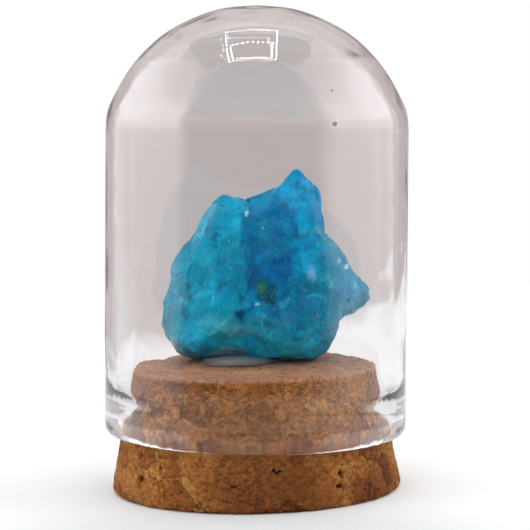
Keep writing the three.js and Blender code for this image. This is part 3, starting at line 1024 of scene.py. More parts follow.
def turning_tree(material: bpy.types.Material) -> bpy.types.NodeTree:
    """Turns a profile round Z and heeds the profile's marks.

    The mark shift moves a ring along X, wave ripples the wall, and cut is kept for the material.

    Args:
        material: What the turned piece is made of.

    Returns:
        A tree with the inputs Segments, Ripple, Weld and Seed.
    """
    tree, given = new_tree("turned_piece", Segments=192, Ripple=mm(7), Weld=WELD, Seed=3.0)
    profile = given.outputs["Geometry"]
    count = add(tree, "GeometryNodeAttributeDomainSize", {0: profile}).outputs["Point Count"]
    rounds = add(tree, "ShaderNodeMath", {0: given.outputs["Segments"], 1: 1.0})
    shape = add(tree, "GeometryNodeMeshGrid",
                {"Size X": 1.0, "Size Y": 1.0, "Vertices X": rounds, "Vertices Y": count})
    here = add(tree, "GeometryNodeInputPosition")
    share = add(tree, "ShaderNodeSeparateXYZ", {0: here})
    last = add(tree, "ShaderNodeMath", {0: count, 1: 1.0}, operation="SUBTRACT")
    along = add(tree, "ShaderNodeMath", {0: share.outputs["Y"], 1: 0.5})
    row = add(tree, "ShaderNodeMath", {0: along, 1: last}, operation="MULTIPLY")
    row = add(tree, "ShaderNodeMath", {0: row}, operation="ROUND")
    point = add(tree, "GeometryNodeSampleIndex", {"Geometry": profile, "Value": here, "Index": row},
                data_type="FLOAT_VECTOR")
    place = add(tree, "ShaderNodeSeparateXYZ", {0: point})
    angle = add(tree, "ShaderNodeMath", {0: share.outputs["X"], 1: 2 * math.pi}, operation="MULTIPLY")
    turned = add(tree, "ShaderNodeCombineXYZ", {0: place.outputs["X"], 2: place.outputs["Z"]})
    ring = add(tree, "ShaderNodeVectorRotate", {"Vector": turned, "Angle": angle}, rotation_type="Z_AXIS")
    for mark in ("shift", "wave", "cut"):
        value = add(tree, "GeometryNodeInputNamedAttribute", {"Name": mark}, data_type="FLOAT")
        taken = add(tree, "GeometryNodeSampleIndex", {"Geometry": profile, "Value": value, "Index": row},
                    data_type="FLOAT")
        shape = add(tree, "GeometryNodeStoreNamedAttribute",
                    {"Geometry": shape, "Name": mark, "Value": taken}, data_type="FLOAT")
    shape = add(tree, "GeometryNodeSetPosition", {"Geometry": shape, "Position": ring})
    welded = add(tree, "GeometryNodeMergeByDistance", {"Geometry": shape, "Distance": given.outputs["Weld"]})
    noise = add(tree, "ShaderNodeTexNoise", {
        "Vector": here,
        "W": given.outputs["Seed"],
        "Scale": add(tree, "ShaderNodeMath", {0: 1.0, 1: given.outputs["Ripple"]}, operation="DIVIDE"),
        "Detail": 2.0,
    }, noise_dimensions="4D")
    swing = add(tree, "ShaderNodeMath", {0: noise, 1: 0.5}, operation="SUBTRACT")
    wave = add(tree, "GeometryNodeInputNamedAttribute", {"Name": "wave"}, data_type="FLOAT")
    amount = add(tree, "ShaderNodeMath", {0: swing, 1: wave}, operation="MULTIPLY")
    normal = add(tree, "GeometryNodeInputNormal")
    rippled = add(tree, "ShaderNodeVectorMath", {0: normal, "Scale": amount}, operation="SCALE")
    shift = add(tree, "GeometryNodeInputNamedAttribute", {"Name": "shift"}, data_type="FLOAT")
    aside = add(tree, "ShaderNodeCombineXYZ", {0: shift})
    offset = add(tree, "ShaderNodeVectorMath", {0: rippled, 1: aside}, operation="ADD")
    placed = add(tree, "GeometryNodeSetPosition", {"Geometry": welded, "Offset": offset})
    return close_tree(tree, placed, material)


def turn(
    name: str, profile: bpy.types.Mesh, material: bpy.types.Material, **sizes: float | int
) -> bpy.types.Object:
    """Turns a profile and makes its faces point outwards.

    Args:
        name: The piece's name.
        profile: The line to turn.
        material: What the piece is made of.
        **sizes: Values for the turning tree's inputs.

    Returns:
        The turned piece.
    """
    piece = grow(name, profile, turning_tree(material), **sizes)
    shape = bmesh.new()
    shape.from_mesh(piece.data)
    if shape.calc_volume(signed=True) < 0:
        bmesh.ops.reverse_faces(shape, faces=shape.faces)
    shape.to_mesh(piece.data)
    shape.free()
    return piece


@dataclass
class GlassDome:
    """The blown dome: a straight wall, a shoulder stepped inside, a thick crown and a lipped, open foot.

    Sizes are in mm, with heights above the plug's underside. The whole dome leans a little.
    """

    glass: ClearGlass
    rim_z: float = 6.8
    wall_outer_r: float = 18.55
    wall_inner_r: float = 17.2
    lip_inner_r: float = 16.45
    lip_top_z: float = 13.6
    shoulder_z: float = 44.0
    crown_z: float = 59.25
    crown_inner_z: float = 58.0
    foot_round: float = 1.5
    cut_height: float = 1.1
    lean: float = 1.6
    bore_lean: float = 0.009
    offset_x: float = -0.05
    wall_taper: float = 0.08
    ripple_out: float = 0.05
    ripple_in: float = 0.16

    def outside(self) -> Outline:
        """Draws the outside.

        Returns:
            Its points, from the foot up to the crown.
        """
        r, foot = self.wall_outer_r, self.foot_round
        wall_top = (r - self.wall_taper, self.shoulder_z)
        shoulder = smooth_curve([
            wall_top, (18.2, 46.4), (17.05, 48.9), (15.75, 51.1), (14.0, 53.3),
            (11.4, 55.65), (8.2, 57.45), (4.5, 58.75), (0.0, self.crown_z),
        ], 8)
        edge = arc(r - foot, self.rim_z + foot, foot, -90, 0, 10)
        return [*edge, *straight(edge[-1], wall_top, 60), *shoulder]

    def bore(self) -> Outline:
        """Draws the inside.

        Returns:
            Its points, from the crown down to the lip's foot.
        """
        crown = smooth_curve([
            (0.0, self.crown_inner_z), (3.95, 57.6), (7.6, 56.4), (10.75, 54.65), (13.25, 52.5),
            (14.2, 51.4), (15.0, 50.2), (15.65, 49.0), (16.25, 47.8), (16.75, 46.6), (17.05, 45.6),
            (self.wall_inner_r, 44.4),
        ], 7)
        lip = smooth_curve([
            (self.wall_inner_r, self.lip_top_z), (17.12, 12.8), (16.9, 11.9), (16.62, 10.9),
            (self.lip_inner_r, 9.9), (self.lip_inner_r, 9.0), (16.62, 8.1), (16.8, 7.4), (16.98, 6.95),
        ], 6)
        return [*crown, *straight(crown[-1], lip[0], 60), *lip]

    def shift(self, height: float) -> float:
        """How far the bore has wandered along X at a height, in metres."""
        return -mm(self.bore_lean * max(0.0, height - self.lip_top_z))

    def build(self) -> None:
        """Turns the dome, leans it and hands it over."""
        out, bore = self.outside(), self.bore()
        profile = [*out, *bore, out[0]]
        cut_top = self.rim_z + self.cut_height
        outer, inner = mm(self.ripple_out), mm(self.ripple_in)
        marks = {
            "cut": [float(z < cut_top) for _, z in profile],
            "shift": [0.0] * len(out) + [self.shift(z) for _, z in bore] + [0.0],
            "wave": [outer] * len(out) + [inner] * len(bore) + [outer],
        }
        piece = turn("blown_dome", profile_mesh("dome_profile", profile, **marks), self.glass.material())
        pivot = mm_point((self.offset_x, 0, self.rim_z))
        turn_about = Matrix.Translation(pivot) @ Matrix.Rotation(math.radians(self.lean), 4, "Y")
        piece.data.transform(turn_about @ Matrix.Translation(mm_point((0, 0, -self.rim_z))))
        hand_over(piece, Slot.GLASS.value, "glass_dome")


@dataclass
class CorkPlug:
    """The tapered plug of pressed cork, sanded, with open seams, lost crumbs and softened rims.

    Sizes are in mm. pits are the places of single lost crumbs, and the other spots mark where the plug's
    front and right are painted darker as shade.
    """

    cork: PressedCork
    top_r: float = 14.95
    base_round: float = 0.8
    top_round: float = 0.4
    seam_depth: float = 0.14
    granule_swell: float = 0.1
    pit_depth: float = 0.6
    pit_spacing: float = 4.4
    grit: float = 0.9
    grit_depth: float = 0.12
    segments: int = 560
    pits: tuple[Spot, ...] = (
        Spot((-13.7, -9.5, 5.85), (0.36, 0.5, 0.26)),
        Spot((-11.3, -12.5, 4.9), (0.2, 0.4, 0.28)),
        Spot((10.0, -13.8, 3.9), (0.2, 0.5, 0.6)),
        Spot((9.7, -14.25, 2.65), (0.28, 0.5, 0.34)),
        Spot((13.4, -10.3, 4.4), (0.14, 0.4, 0.5)),
        Spot((2.5, -16.7, 4.9), (0.6, 0.5, 0.14)),
        Spot((-3.1, -16.9, 3.1), (0.8, 0.5, 0.1)),
    )
    painted_shade: tuple[Spot, ...] = (
        Spot((3.0, -16.8, 2.6), (9.0, 6.0, 4.2)),
        Spot((14.5, -9.0, 2.0), (4.0, 6.0, 3.0)),
    )

    def profile(self) -> bpy.types.Mesh:
        """Draws the plug's section, at the height and foot that the frame gives.

        Returns:
            The line to turn.
        """
        low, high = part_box("cork_base")
        height, base_r = high.z * 1000, (high.x - low.x) * 500
        foot = arc(base_r - self.base_round, self.base_round, self.base_round, -90, 0, 6)
        rim = arc(self.top_r - self.top_round, height - self.top_round, self.top_round, 0, 90, 7)
        under = straight((0.0, 0.0), foot[0], 9)
        top = straight(rim[-1], (0.0, height), 44)
        points = [(0.0, 0.0), *under, *foot, *straight(foot[-1], rim[0], 76), *rim, *top, (0.0, height)]
        return profile_mesh("plug_profile", points, shift=[0.0] * len(points), wave=[0.0] * len(points))

    def relief_tree(self, material: bpy.types.Material) -> bpy.types.NodeTree:
        """Sinks the seams and pits, and lets each granule stand a little proud or low.

        Args:
            material: The cork.

        Returns:
            A tree with the inputs Seam, Swell, Pit, Spacing and Grit. It stores the attributes pit and
            handled.
        """
        tree, given = new_tree("cork_relief", Seam=mm(self.seam_depth), Swell=mm(self.granule_swell),
                               Pit=mm(self.pit_depth), Spacing=mm(self.pit_spacing), Grit=mm(self.grit_depth))
        here = add(tree, "GeometryNodeInputPosition")
        colour, edge = self.cork.cells(tree, here)
        hue = add(tree, "FunctionNodeSeparateColor", {0: colour})
        proud = add(tree, "ShaderNodeMath", {0: hue.outputs["Green"], 1: 0.5}, operation="SUBTRACT")
        proud = add(tree, "ShaderNodeMath", {0: proud, 1: given.outputs["Swell"]}, operation="MULTIPLY")
        sunk = add(tree, "ShaderNodeMapRange", {0: edge, **between((0.0, 0.12)), 3: -1.0, 4: 0.0},
                   interpolation_type="SMOOTHSTEP")
        sunk = add(tree, "ShaderNodeMath", {0: sunk, 1: given.outputs["Seam"]}, operation="MULTIPLY")
        height = add(tree, "ShaderNodeMath", {0: proud, 1: sunk})
        # Lost crumbs: a few of the pits' cells are open, each by a chance of its own.
        scale = add(tree, "ShaderNodeMath", {0: 1.0, 1: given.outputs["Spacing"]}, operation="DIVIDE")
        wander = add(tree, "ShaderNodeTexNoise", {"Vector": here, "Scale": every(1.0), "Detail": 3.0})
        wander = add(tree, "ShaderNodeVectorMath", {0: wander.outputs["Color"], "Scale": mm(1.2)},
                     operation="SCALE")
        moved = add(tree, "ShaderNodeVectorMath", {0: wander, 1: here})
        spots = add(tree, "ShaderNodeTexVoronoi", {"Vector": moved, "Scale": scale})
        chance = add(tree, "FunctionNodeSeparateColor", {0: spots.outputs["Color"]})
        lost = add(tree, "ShaderNodeMapRange",
                   {0: chance.outputs["Red"], **between((0.45, 0.95)), 3: 0.0, 4: 0.13})
        inside = add(tree, "ShaderNodeMath", {0: lost, 1: spots.outputs["Distance"]}, operation="SUBTRACT")
        pit = add(tree, "ShaderNodeMapRange", {0: inside, **between((0.0, 0.07))},
                  interpolation_type="SMOOTHSTEP")
        torn = shaken(tree, here, 0.6, 0.75, detail=4.0, rough=0.5)
        for spot in self.pits:
            pit = add(tree, "ShaderNodeMath", {0: pit, 1: spot.felt(tree, torn, 0.25)}, operation="MAXIMUM")
        # Painted shade: the plug's front and right are marked for darker paint.
        painted_shade = 0.0
        for spot in self.painted_shade:
            painted_shade = add(tree, "ShaderNodeMath", {0: painted_shade, 1: spot.felt(tree, moved, 0.6)},
                          operation="MAXIMUM")
        deep = add(tree, "ShaderNodeMath", {0: pit, 1: given.outputs["Pit"]}, operation="MULTIPLY")
        height = add(tree, "ShaderNodeMath", {0: height, 1: deep}, operation="SUBTRACT")
        grit = add(tree, "ShaderNodeTexNoise", {"Vector": here, "Scale": every(self.grit), "Detail": 3.0})
        grit = add(tree, "ShaderNodeMath", {0: grit, 1: 0.5}, operation="SUBTRACT")
        grit = add(tree, "ShaderNodeMath", {0: grit, 1: given.outputs["Grit"]}, operation="MULTIPLY")
        height = add(tree, "ShaderNodeMath", {0: height, 1: grit})
        offset = add(tree, "ShaderNodeVectorMath",
                     {0: add(tree, "GeometryNodeInputNormal"), "Scale": height}, operation="SCALE")
        marked = given.outputs["Geometry"]
        for name, value in (("pit", pit), ("painted_shade", painted_shade)):
            marked = add(tree, "GeometryNodeStoreNamedAttribute",
                         {"Geometry": marked, "Name": name, "Value": value}, data_type="FLOAT")
        lifted = add(tree, "GeometryNodeSetPosition", {"Geometry": marked, "Offset": offset})
        # Nothing sinks through the flat underside.
        floor = add(tree, "ShaderNodeVectorMath", {0: here, 1: (-1.0, -1.0, 0.0)}, operation="MAXIMUM")
        flat = add(tree, "GeometryNodeSetPosition", {"Geometry": lifted, "Position": floor})
        return close_tree(tree, flat, material)

    def build(self) -> None:
        """Turns the plug, roughens it and hands it over."""
        material = self.cork.material()
        plain = turn("plug_blank", self.profile(), material, Segments=self.segments)
        piece = grow("pressed_cork_plug", plain.data, self.relief_tree(material))
        bpy.data.objects.remove(plain)
        hand_over(piece, Slot.CORK.value, "cork_base")


@dataclass(frozen=True)
class Push:
    """A soft push on the stone's surface: where, how far round it is felt and which way, all in mm."""

    at: Place
    reach: float
    move: Place


@dataclass
class OpalStone:
    """The rough stone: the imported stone's facets, scalloped and grained by fracture. Sizes in mm."""

    opal: BlueOpal
    splits: int = 2
    swell: float = 0.2
    scallop: float = 4.2
    scallop_depth: float = 0.5
    chip: float = 1.7
    chip_depth: float = 0.34
    wander: float = 3.0
    wander_reach: float = 2.0
    streak: float = 1.3
    streak_flat: float = 0.35
    streak_depth: float = 0.3
    grain: float = 0.55
    grain_depth: float = 0.06
    foot_still: float = 0.2
    foot_clear: float = 1.2
    pushes: tuple[Push, ...] = (
        Push((7.6, 3.2, 36.8), 2.2, (0.5, 0.0, 0.2)),
        Push((4.2, 3.5, 36.4), 2.4, (-0.2, 0.0, 0.35)),
        Push((-5.6, 3.4, 33.4), 3.2, (-0.4, 0.0, 0.15)),
        Push((10.4, 2.4, 28.8), 4.0, (0.55, 0.0, 0.25)),
        Push((13.8, 3.6, 24.2), 4.0, (0.6, 0.0, 0.1)),
        Push((-9.6, 3.0, 27.0), 5.0, (0.35, 0.0, 0.0)),
        Push((10.2, 2.0, 19.0), 3.5, (0.2, 0.0, 0.0)),
    )

    def pushed(self, tree: bpy.types.NodeTree, here: Any) -> Any:
        """The sum of every push at a place.

        Args:
            tree: The tree that gets the nodes.
            here: The place.

        Returns:
            The move at that place.
        """
        total = (0.0, 0.0, 0.0)
        for push in self.pushes:
            far = add(tree, "ShaderNodeVectorMath", {0: here, 1: mm_point(push.at)}, operation="DISTANCE")
            share = add(tree, "ShaderNodeMapRange",
                        {0: far.outputs["Value"], **between_mm((0.0, push.reach)), 3: 1.0, 4: 0.0},
                        interpolation_type="SMOOTHSTEP")
            move = add(tree, "ShaderNodeVectorMath", {0: mm_point(push.move), "Scale": share},
                       operation="SCALE")
            total = add(tree, "ShaderNodeVectorMath", {0: total, 1: move})
        return total

    def relief_tree(self, material: bpy.types.Material) -> bpy.types.NodeTree:
        """Splits the facets finely and cuts shell-shaped scallops, chips, upright streaks and grain.

        Args:
            material: The opal.

        Returns:
            A tree with the inputs Level, Swell, Scallop and Chip, and ScallopDepth, ChipDepth, StreakDepth
            and GrainDepth. It stores the attributes stain and ridge.
        """
        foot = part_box("blue_opal")[0].z
        tree, given = new_tree(
            "opal_relief", Level=self.splits, Swell=mm(self.swell), Scallop=mm(self.scallop),
            Chip=mm(self.chip), ScallopDepth=mm(self.scallop_depth), ChipDepth=mm(self.chip_depth),
            StreakDepth=mm(self.streak_depth), GrainDepth=mm(self.grain_depth),
        )
        # Sharp edges between facets stay keen, and flat ones melt away.
        angle = add(tree, "GeometryNodeInputMeshEdgeAngle").outputs["Unsigned Angle"]
        keen = add(tree, "ShaderNodeMapRange", {0: angle, **between((0.25, 0.8)), 4: 0.8})
        fine = add(tree, "GeometryNodeSubdivisionSurface",
                   {"Mesh": given.outputs["Geometry"], "Level": given.outputs["Level"], "Edge Crease": keen})
        here = add(tree, "GeometryNodeInputPosition")
        shake = add(tree, "ShaderNodeTexNoise", {"Vector": here, "Scale": every(self.wander), "Detail": 3.0})
        shake = add(tree, "ShaderNodeVectorMath", {0: shake.outputs["Color"], "Scale": mm(self.wander_reach)},
                    operation="SCALE")
        moved = add(tree, "ShaderNodeVectorMath", {0: here, 1: shake})
        height = given.outputs["Swell"]
        shells = []
        for size, depth, middle in (("Scallop", "ScallopDepth", 0.5), ("Chip", "ChipDepth", 0.45)):
            scale = add(tree, "ShaderNodeMath", {0: 1.0, 1: given.outputs[size]}, operation="DIVIDE")
            shell = add(tree, "ShaderNodeTexVoronoi", {"Vector": moved, "Scale": scale}).outputs["Distance"]
            shells.append(shell)
            dish = add(tree, "ShaderNodeMath", {0: shell, 1: middle}, operation="SUBTRACT")
            height = add(tree, "ShaderNodeMath", {0: dish, 1: given.outputs[depth], 2: height},
                         operation="MULTIPLY_ADD")
        upright = add(tree, "ShaderNodeVectorMath", {0: moved, 1: (1.0, 1.0, self.streak_flat)},
                      operation="MULTIPLY")
        streak = add(tree, "ShaderNodeTexNoise",
                     {"Vector": upright, "Scale": every(self.streak), "Detail": 3.0})
        grain = add(tree, "ShaderNodeTexNoise", {"Vector": here, "Scale": every(self.grain), "Detail": 3.0})
        for noise, depth in ((streak, "StreakDepth"), (grain, "GrainDepth")):
            swing = add(tree, "ShaderNodeMath", {0: noise, 1: 0.5}, operation="SUBTRACT")
            height = add(tree, "ShaderNodeMath", {0: swing, 1: given.outputs[depth], 2: height},
                         operation="MULTIPLY_ADD")
        along = add(tree, "ShaderNodeVectorMath",
                    {0: add(tree, "GeometryNodeInputNormal"), "Scale": height}, operation="SCALE")
        move = add(tree, "ShaderNodeVectorMath", {0: along, 1: self.pushed(tree, here)})
        # The foot stays as packed, clear of the cork and the glue.
        up = add(tree, "ShaderNodeSeparateXYZ", {0: here}).outputs["Z"]
        clear = add(tree, "ShaderNodeMapRange",
                    {0: up, **between((foot + mm(self.foot_still), foot + mm(self.foot_clear)))},
                    interpolation_type="SMOOTHSTEP")
        offset = add(tree, "ShaderNodeVectorMath", {0: move, "Scale": clear}, operation="SCALE")
        marked = add(tree, "GeometryNodeStoreNamedAttribute",
                     {"Geometry": self.opal.stain_and_painted_light(tree, fine), "Name": "ridge", "Value": shells[0]},
                     data_type="FLOAT")
        cut = add(tree, "GeometryNodeSetPosition", {"Geometry": marked, "Offset": offset})
        return close_tree(tree, cut, material)

    def build(self) -> None:
        """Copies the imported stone, merges its points, cuts the relief and hands it over."""
        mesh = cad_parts["blue_opal"].data.copy()
        shape = bmesh.new()
        shape.from_mesh(mesh)
        bmesh.ops.remove_doubles(shape, verts=shape.verts, dist=WELD)
        shape.to_mesh(mesh)
        shape.free()
        mesh.materials.clear()
        piece = grow("rough_opal", mesh, self.relief_tree(self.opal.material()))
        hand_over(piece, Slot.OPAL.value, "blue_opal")


@dataclass
class GlueDab:
    """The dab of glue under the stone's arch, squeezed out to a low lens. Sizes in mm.

    Each of the waves round its outline has a number, a strength as a share of its width, and a start.
    """

    glue: SetGlue
    rise: float = 0.35
    segments: int = 96
    waves: tuple[tuple[int, float, float], ...] = ((3, 0.06, 0.7), (5, 0.04, 0.0))

    def build(self) -> None:
        """Turns a low lens, squeezes it to its outline and hands it over."""
        low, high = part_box("glue_pad")
        height = (high.z - low.z) * 1000 + self.rise
        outline = smooth_curve([
            (1.0, 0.0), (1.0, 0.1), (0.93, 0.45 * height), (0.7, 0.8 * height), (0.35, height), (0.0, height),
        ], 8)
        points = [(0.0, 0.0), *straight((0.0, 0.0), (1.0, 0.0), 8), *outline]
        profile = profile_mesh("glue_profile", points, shift=[0.0] * len(points), wave=[0.0] * len(points))
        piece = turn("glue_dab", profile, self.glue.material(), Segments=self.segments)
        middle = (low + high) / 2
        for point in piece.data.vertices:
            angle = math.atan2(point.co.y, point.co.x)
            reach = 1.0
            for number, strength, start in self.waves:
                reach += strength * math.sin(number * angle + start)
            point.co.x = middle.x + point.co.x * (high.x - low.x) * 500 * reach
            point.co.y = middle.y + point.co.y * (high.y - low.y) * 500 * reach
            point.co.z += low.z
        hand_over(piece, Slot.GLUE.value, "glue_pad")


@dataclass(frozen=True)
class Grain:
    """A grain with a place of its own: where, its radius, both in mm, and how grey it is."""

    at: Place
    size: float
    tone: float


@dataclass
class LooseCork:
    """Cork dust on the inside of the glass, with one larger crumb and a grey speck. Sizes in mm."""

    finish: CorkDust
    wall_r: float = 16.9
    wall_low: float = 18.0
    wall_high: float = 43.0
    lean_middle: float = 0.6
    per_square_cm: float = 0.7
    fine: float = 0.03
    coarse: float = 0.075
    ragged: float = 0.22
    grains: tuple[Grain, ...] = (Grain((9.6, -14.35, 44.7), 0.22, 0.0), Grain((9.4, -13.4, 48.3), 0.1, 1.0))

    def named_grains(self) -> bpy.types.Mesh:
        """Places the grains that have a place of their own.

        Returns:
            A mesh of points, with the attributes size and tone.
        """
        mesh = bpy.data.meshes.new("named_grains")
        mesh.from_pydata([mm_point(grain.at) for grain in self.grains], [], [])
        marks = {
            "size": [mm(grain.size) for grain in self.grains],
            "tone": [grain.tone for grain in self.grains],
        }
        for name, values in marks.items():
            mesh.attributes.new(name, "FLOAT", "POINT").data.foreach_set("value", values)
        return mesh

    def tree(self, material: bpy.types.Material) -> bpy.types.NodeTree:
        """Scatters dust over the wall, joins the named grains and makes each one a ragged lump.

        Args:
            material: What the grains are made of.

        Returns:
            A tree with the inputs Radius, Low, High, Density, Fine, Coarse and Seed.
        """
        tree, given = new_tree(
            "stuck_dust", Radius=mm(self.wall_r), Low=mm(self.wall_low), High=mm(self.wall_high),
            Density=self.per_square_cm * 1e4, Fine=mm(self.fine), Coarse=mm(self.coarse), Seed=5,
        )
        tall = add(tree, "ShaderNodeMath", {0: given.outputs["High"], 1: given.outputs["Low"]},
                   operation="SUBTRACT")
        middle = add(tree, "ShaderNodeMath", {0: given.outputs["High"], 1: given.outputs["Low"]})
        middle = add(tree, "ShaderNodeMath", {0: middle, 1: 0.5}, operation="MULTIPLY")
        wall = add(tree, "GeometryNodeMeshCylinder", {
            "Vertices": 96, "Radius": given.outputs["Radius"], "Depth": tall,
        }, fill_type="NONE")
        centre = add(tree, "ShaderNodeCombineXYZ", {0: mm(self.lean_middle), 2: middle})
        wall = add(tree, "GeometryNodeTransform", {"Geometry": wall, "Translation": centre})
        dust = add(tree, "GeometryNodeDistributePointsOnFaces",
                   {"Mesh": wall, "Density": given.outputs["Density"], "Seed": given.outputs["Seed"]})
        for name, low, high in (("size", given.outputs["Fine"], given.outputs["Coarse"]), ("tone", 0.0, 1.0)):
            drawn = add(tree, "FunctionNodeRandomValue",
                        {"Min": low, "Max": high, "Seed": given.outputs["Seed"]}, data_type="FLOAT")
            value = next(out for out in drawn.outputs if out.enabled)
            dust = add(tree, "GeometryNodeStoreNamedAttribute",
                       {"Geometry": dust, "Name": name, "Value": value}, data_type="FLOAT")
        named = add(tree, "GeometryNodeMeshToPoints", {"Mesh": given.outputs["Geometry"]})
        every_grain = add(tree, "GeometryNodeJoinGeometry")
        for points in (named, dust):
            tree.links.new(points.outputs[0], every_grain.inputs[0])
        size = add(tree, "GeometryNodeInputNamedAttribute", {"Name": "size"}, data_type="FLOAT")
        ball = add(tree, "GeometryNodeMeshIcoSphere", {"Radius": 1.0, "Subdivisions": 3})
        balls = add(tree, "GeometryNodeInstanceOnPoints",
                    {"Points": every_grain, "Instance": ball.outputs["Mesh"], "Scale": size})
        real = add(tree, "GeometryNodeRealizeInstances", {0: balls})
        hills = add(tree, "ShaderNodeTexNoise", {
            "Vector": add(tree, "GeometryNodeInputPosition"), "Scale": every(self.ragged), "Detail": 2.0,
        })
        swing = add(tree, "ShaderNodeMath", {0: hills, 1: 0.5}, operation="SUBTRACT")
        swing = add(tree, "ShaderNodeMath", {0: swing, 1: size}, operation="MULTIPLY")
        swing = add(tree, "ShaderNodeMath", {0: swing, 1: 2.0}, operation="MULTIPLY")
        push = add(tree, "ShaderNodeVectorMath", {0: add(tree, "GeometryNodeInputNormal"), "Scale": swing},
                   operation="SCALE")
        lumps = add(tree, "GeometryNodeSetPosition", {"Geometry": real, "Offset": push})
        return close_tree(tree, lumps, material)

    def build(self) -> None:
        """Grows the grains and hands them over."""
        piece = grow("stuck_cork_dust", self.named_grains(), self.tree(self.finish.material()))
        hand_over(piece, Slot.CORK.value)


# ---------------------------------------------------------------- studio


@dataclass(frozen=True)
class LampPart:
    """One flat part of the lamp. Its width, depth and place back are shares of the lamp's height.

    A frame has a count of small lamps, and the share by which it is narrower at its back than in its middle.
    """

    name: str
    width: float
    depth: float
    back: float
    count: int = 0
    taper: float = 0.0


@dataclass
class Studio:
    """The light tent, the pale floor, the lamp and the camera.

    Lengths are in mm and angles in degrees. A name that ends in _rise gives the rises of a direction, as
    sines, between which one part of the tent gives way to the next. The tent's other numbers are
    brightnesses, with the white that the camera sees as 1.
    """

    camera_distance: float = 250.0
    camera_height: float = 46.556
    look_down: float = 4.356
    look_aside: float = 0.366
    roll: float = -1.2135
    lens: float = 138.7
    sensor: float = 36.0
    front_opening: float = 57.0
    back_turn: float = 3.0
    back_half: float = 43.0
    back_wall: float = 0.56
    back_tone: str = "#FFF2F0"
    side_tone: str = "#FFFAFB"
    back_high: float = 0.7
    side_wall: float = 1.25
    low_side: float = 0.8
    high_side: float = 2.9
    far_side: float = 1.5
    top_side: float = 1.4
    front_high: float = 0.5
    ceiling: float = 1.1
    dark: float = 0.06
    paper: float = 0.95
    near_paper: float = 0.7
    overhead_gloom: float = 0.3
    low_rise: tuple[float, float] = (-0.12, 0.03)
    paper_rise: tuple[float, float] = (-0.3, -0.5)
    near_paper_rise: tuple[float, float] = (-0.5, -0.3)
    high_rise: tuple[float, float] = (0.0, 0.2)
    top_rise: tuple[float, float] = (0.5, 0.7)
    front_rise: tuple[float, float] = (0.05, 0.25)
    overhead_rise: tuple[float, float] = (0.78, 0.84)
    back_high_rise: tuple[float, float] = (0.26, 0.38)
    back_paper_rise: tuple[float, float] = (-0.13, -0.17)
    ceiling_rise: tuple[float, float] = (0.76, 0.95)
    ceiling_soft: float = 0.04
    far_turn: tuple[float, float] = (-0.2, -0.7)
    key: float = 1.2
    key_lean: float = 0.3
    key_range: tuple[float, float] = (-0.3, 0.9)
    key_least: float = 0.92
    key_most: float = 1.03
    key_front: float = 0.85
    key_front_turn: tuple[float, float] = (-0.95, -0.3)
    lamp_height: float = 330.0
    crown_height: float = 59.3
    lamp_size: float = 5.0
    lamp_long: float = 1.6
    lamp_glow: float = 34.0
    lamp_aside: float = -8.0
    bar_glow: float = 0.1
    bar_above: float = 4.0
    frames: tuple[LampPart, ...] = (
        LampPart("lamp_frame_outer", 0.456, 0.64, 0.08, 46, 0.19),
        LampPart("lamp_frame_inner", 0.385, 0.27, -0.075, 34, 0.03),
    )
    bar: LampPart = LampPart("lamp_bar", 1.15, 0.8, 0.155)
    floor_front: float = -125.0
    floor_back: float = 228.0
    floor_slant: float = 1.0
    floor_side: float = 200.0
    floor_front_fade: float = 97.0
    floor_back_fade: float = 80.0
    floor_side_fade: float = 60.0
    sheet_lit: tuple[float, float, float, float] = (0.87, 0.9, 0.91, 1.0)
    sheet_through_glass: tuple[float, float, float, float] = (0.74, 0.74, 0.75, 1.0)
    near_shade: Patch = Patch("#000000", (-2.0, -30.0, 0.0), (24.0, 15.0, 50.0), 0.18, edge=0.6)
    right_light: Patch = Patch("#FFFFFF", (25.0, -1.0, 0.0), (16.0, 18.0, 50.0), 0.7, edge=0.6)

    def camera(self) -> None:
        """A long lens a little above the stone, looking slightly down."""
        data = bpy.data.cameras.new("camera")
        data.lens = self.lens
        data.sensor_width = self.sensor
        data.clip_start = mm(10)
        data.clip_end = 10.0
        camera = bpy.data.objects.new("camera", data)
        bpy.context.scene.collection.objects.link(camera)
        down, aside, roll = (math.radians(a) for a in (self.look_down, self.look_aside, self.roll))
        turn_about = (Matrix.Rotation(-aside, 4, "Z") @ Matrix.Rotation(math.pi / 2 - down, 4, "X")
                      @ Matrix.Rotation(roll, 4, "Z"))
        place = Matrix.Translation(mm_point((0, -self.camera_distance, self.camera_height)))
        camera.matrix_world = place @ turn_about
        bpy.context.scene.camera = camera

    def level(self, tree: bpy.types.NodeTree, ray: bpy.types.Node) -> bpy.types.Node:
        """Lays a direction level.

        Args:
            tree: The world's tree.
            ray: The direction, split into X, Y and Z.

        Returns:
            The direction without its rise, one long.
        """
        flat = add(tree, "ShaderNodeCombineXYZ", {0: ray.outputs["X"], 1: ray.outputs["Y"]})
        return add(tree, "ShaderNodeVectorMath", {0: flat}, operation="NORMALIZE")

    def behind(self, tree: bpy.types.NodeTree, level: Any) -> bpy.types.Node:
        """Finds the tent's back wall.

        Args:
            tree: The world's tree.
            level: A level direction, one long.

        Returns:
            1 where the direction meets the back wall, and 0 where it doesn't.
        """
        turned = math.radians(self.back_turn)
        middle = (math.sin(turned), math.cos(turned), 0.0)
        along = add(tree, "ShaderNodeVectorMath", {0: level, 1: middle}, operation="DOT_PRODUCT")
        edges = [math.cos(math.radians(self.back_half + a)) for a in (3.0, -3.0)]
        return add(tree, "ShaderNodeMapRange", {0: along.outputs["Value"], **between((edges[0], edges[1]))},
                   interpolation_type="SMOOTHSTEP")

